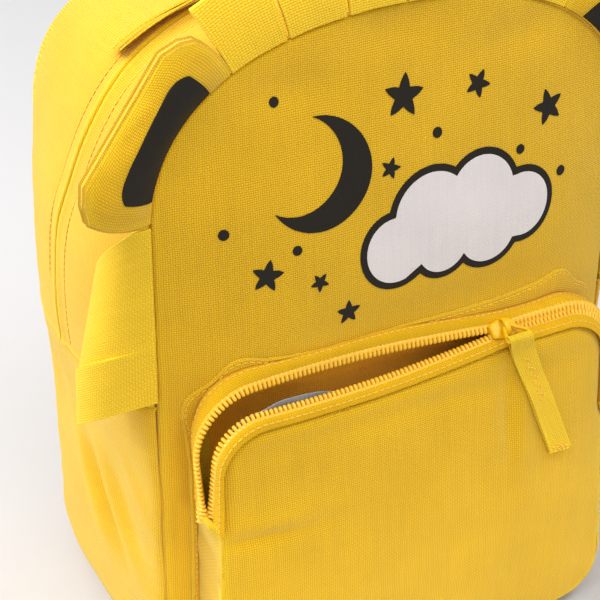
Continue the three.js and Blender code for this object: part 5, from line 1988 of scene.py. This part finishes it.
class BACKPACK_OT_handle(bpy.types.Operator):
    """Sews the webbing hand loop on the band behind the main zip"""

    bl_idname = "backpack.handle"
    bl_label = "Handle"

    def execute(self, context):
        start = 1 - HANDLE_SPAN / 2 / FRONT_OUTLINE.length
        v = np.linspace(0, 1, 161)[:, None]
        u = np.linspace(-HANDLE_WIDTH / 2, HANDLE_WIDTH / 2, 19)[None, :]
        share = over_top(start, v)
        depth = HANDLE_DEPTH + u / DEPTH
        rise = handle_rise(v) + 0 * u
        to_edge = HANDLE_WIDTH / 2 - np.abs(u) + 0 * v
        outer = band_point(share, depth, rise + 0.75 - roll(to_edge, 0.5))
        inner = band_point(share, depth, rise - 0.65)
        uv = stack(u, lengths(outer[:, 9])[:, None])
        # The edges are paler: wear with a painted highlight.
        mesh = wall("grab_handle_webbing", outer, inner, "ribbed_webbing", uv,
                    0.12 * ridge(to_edge, 1))
        add_piece(mesh, "webbing", "grab_handle")
        rows = []
        for low, high in ((0.03, 0.15), (0.85, 0.97)):
            box = [(low, -8), (low, 8), (high, 8), (high, -8)]
            route = np.array(box + [(low, -8), (high, 8), (high, -8), (low, 8)], float)
            run, aside = walk(route, np.linspace(0, lengths(route)[-1], 400)).T
            share, depth = over_top(start, run), HANDLE_DEPTH + aside / DEPTH
            spot, above = (band_point(share, depth, handle_rise(run) + lift) for lift in (0.8, 2))
            rows.append((spot, unit(above - spot)))
        sew("grab_handle_stitches", rows, "webbing", 2.8)
        return {"FINISHED"}


# Stage

CAMERA = {"azimuth": -29.06, "elevation": 30.41, "roll": 0.57, "distance": 722.8, "lens": 99.37}
CAMERA_TARGET = (-48.64, 0.0, 199.46)  # from the front seam's middle on the floor
# Each light's place, what it points at, its two sides, all in metres, its power and spread.
LIGHTS = {
    "key": ((-1.4, 0.8, 1.5), (0, 0, 0.18), (1.4, 1.4), 54, 180),
    "near_right": ((0.35, -0.4, 0.95), (0.05, -0.05, 0.3), (0.6, 0.4), 2.9, 180),
    "near_left": ((-0.3, -0.35, 0.9), (-0.03, -0.05, 0.33), (0.5, 0.3), 2.1, 180),
    "low_front": ((-0.1, -0.95, 0.1), (-0.1, -0.1, 0), (0.6, 0.12), 0.2, 26),
}


class BACKPACK_OT_stage(bpy.types.Operator):
    """Sets up the floor, the studio light and the camera"""

    bl_idname = "backpack.stage"
    bl_label = "Stage"

    def area_light(self, name, place, target, size, power, spread):
        data = bpy.data.lights.new(name, "AREA")
        data.shape = "RECTANGLE"
        data.size, data.size_y = size
        data.energy = power
        data.spread = math.radians(spread)
        lamp = bpy.data.objects.new(name, data)
        lamp.location = place
        lamp.rotation_euler = (Vector(target) - Vector(place)).to_track_quat("-Z", "Y").to_euler()
        bpy.context.scene.collection.objects.link(lamp)

    def floor(self):
        side = np.linspace(-3000, 3000, 41)
        x, y = np.meshgrid(side, side)
        points = stack(x, y, -0.15 + 0.1 * ripple(x, y, 900, 91))
        mesh = wall("studio_floor", points, points - (0, 0, 3), "studio_paper")
        floor = bpy.data.objects.new("studio_floor", mesh)
        bpy.context.scene.collection.objects.link(floor)

    def camera(self):
        turn, rise, tilt = (math.radians(CAMERA[key]) for key in ("azimuth", "elevation", "roll"))
        back = Vector((math.sin(turn) * math.cos(rise), -math.cos(turn) * math.cos(rise),
                       math.sin(rise)))
        level = Vector((math.cos(turn), math.sin(turn), 0))
        upright = back.cross(level)
        right = level * math.cos(tilt) + upright * math.sin(tilt)
        up = upright * math.cos(tilt) - level * math.sin(tilt)
        target = Vector(CAMERA_TARGET) + Vector((0, FRONT, 0))
        place = (target + back * CAMERA["distance"]) * MM
        data = bpy.data.cameras.new("camera")
        data.lens = CAMERA["lens"]
        data.sensor_width = 36.0
        data.clip_start = 0.05
        camera = bpy.data.objects.new("camera", data)
        turned = Matrix((right, up, back)).transposed().to_4x4()
        camera.matrix_world = Matrix.Translation(place) @ turned
        bpy.context.scene.collection.objects.link(camera)
        bpy.context.scene.camera = camera

    def execute(self, context):
        self.floor()
        self.camera()
        scene = context.scene
        scene.view_settings.view_transform = "Standard"
        world = bpy.data.worlds.new("studio")
        world.use_nodes = True
        sky = world.node_tree.nodes["Background"]
        sky.inputs["Color"].default_value = to_linear("#f4f4f6")
        sky.inputs["Strength"].default_value = 0.7
        scene.world = world
        for name, values in LIGHTS.items():
            self.area_light(name, *values)
        return {"FINISHED"}


class BACKPACK_PT_panel(bpy.types.Panel):
    """Lists what makes up the bag"""

    bl_idname = "BACKPACK_PT_panel"
    bl_label = "Child's Backpack"
    bl_space_type = "VIEW_3D"
    bl_region_type = "UI"
    bl_category = "Backpack"

    def draw(self, context):
        for settings in (context.scene.backpack_sizes, context.scene.backpack_colours):
            box = self.layout.box()
            for name in settings.__annotations__:
                box.prop(settings, name)
        for operator in OPERATORS:
            self.layout.operator(operator.bl_idname)


OPERATORS = (
    BACKPACK_OT_front_panel,
    BACKPACK_OT_back_panel,
    BACKPACK_OT_gussets,
    BACKPACK_OT_pocket,
    BACKPACK_OT_pocket_zip,
    BACKPACK_OT_tabs,
    BACKPACK_OT_ears,
    BACKPACK_OT_print,
    BACKPACK_OT_pocket_pull,
    BACKPACK_OT_main_pulls,
    BACKPACK_OT_straps,
    BACKPACK_OT_handle,
    BACKPACK_OT_stage,
)
CLASSES = (BackpackSizes, BackpackColours, *OPERATORS, BACKPACK_PT_panel)


def register():
    for each in CLASSES:
        bpy.utils.register_class(each)
    bpy.types.Scene.backpack_sizes = bpy.props.PointerProperty(type=BackpackSizes)
    bpy.types.Scene.backpack_colours = bpy.props.PointerProperty(type=BackpackColours)


def unregister():
    del bpy.types.Scene.backpack_sizes
    del bpy.types.Scene.backpack_colours
    for each in reversed(CLASSES):
        bpy.utils.unregister_class(each)


def main():
    register()
    bpy.ops.backpack.front_panel()
    bpy.ops.backpack.back_panel()
    bpy.ops.backpack.gussets()
    bpy.ops.backpack.pocket()
    bpy.ops.backpack.pocket_zip()
    bpy.ops.backpack.tabs()
    bpy.ops.backpack.ears()
    bpy.ops.backpack.print()
    bpy.ops.backpack.pocket_pull()
    bpy.ops.backpack.main_pulls()
    bpy.ops.backpack.straps()
    bpy.ops.backpack.handle()
    bpy.ops.backpack.stage()


if __name__ == "__main__":
    main()
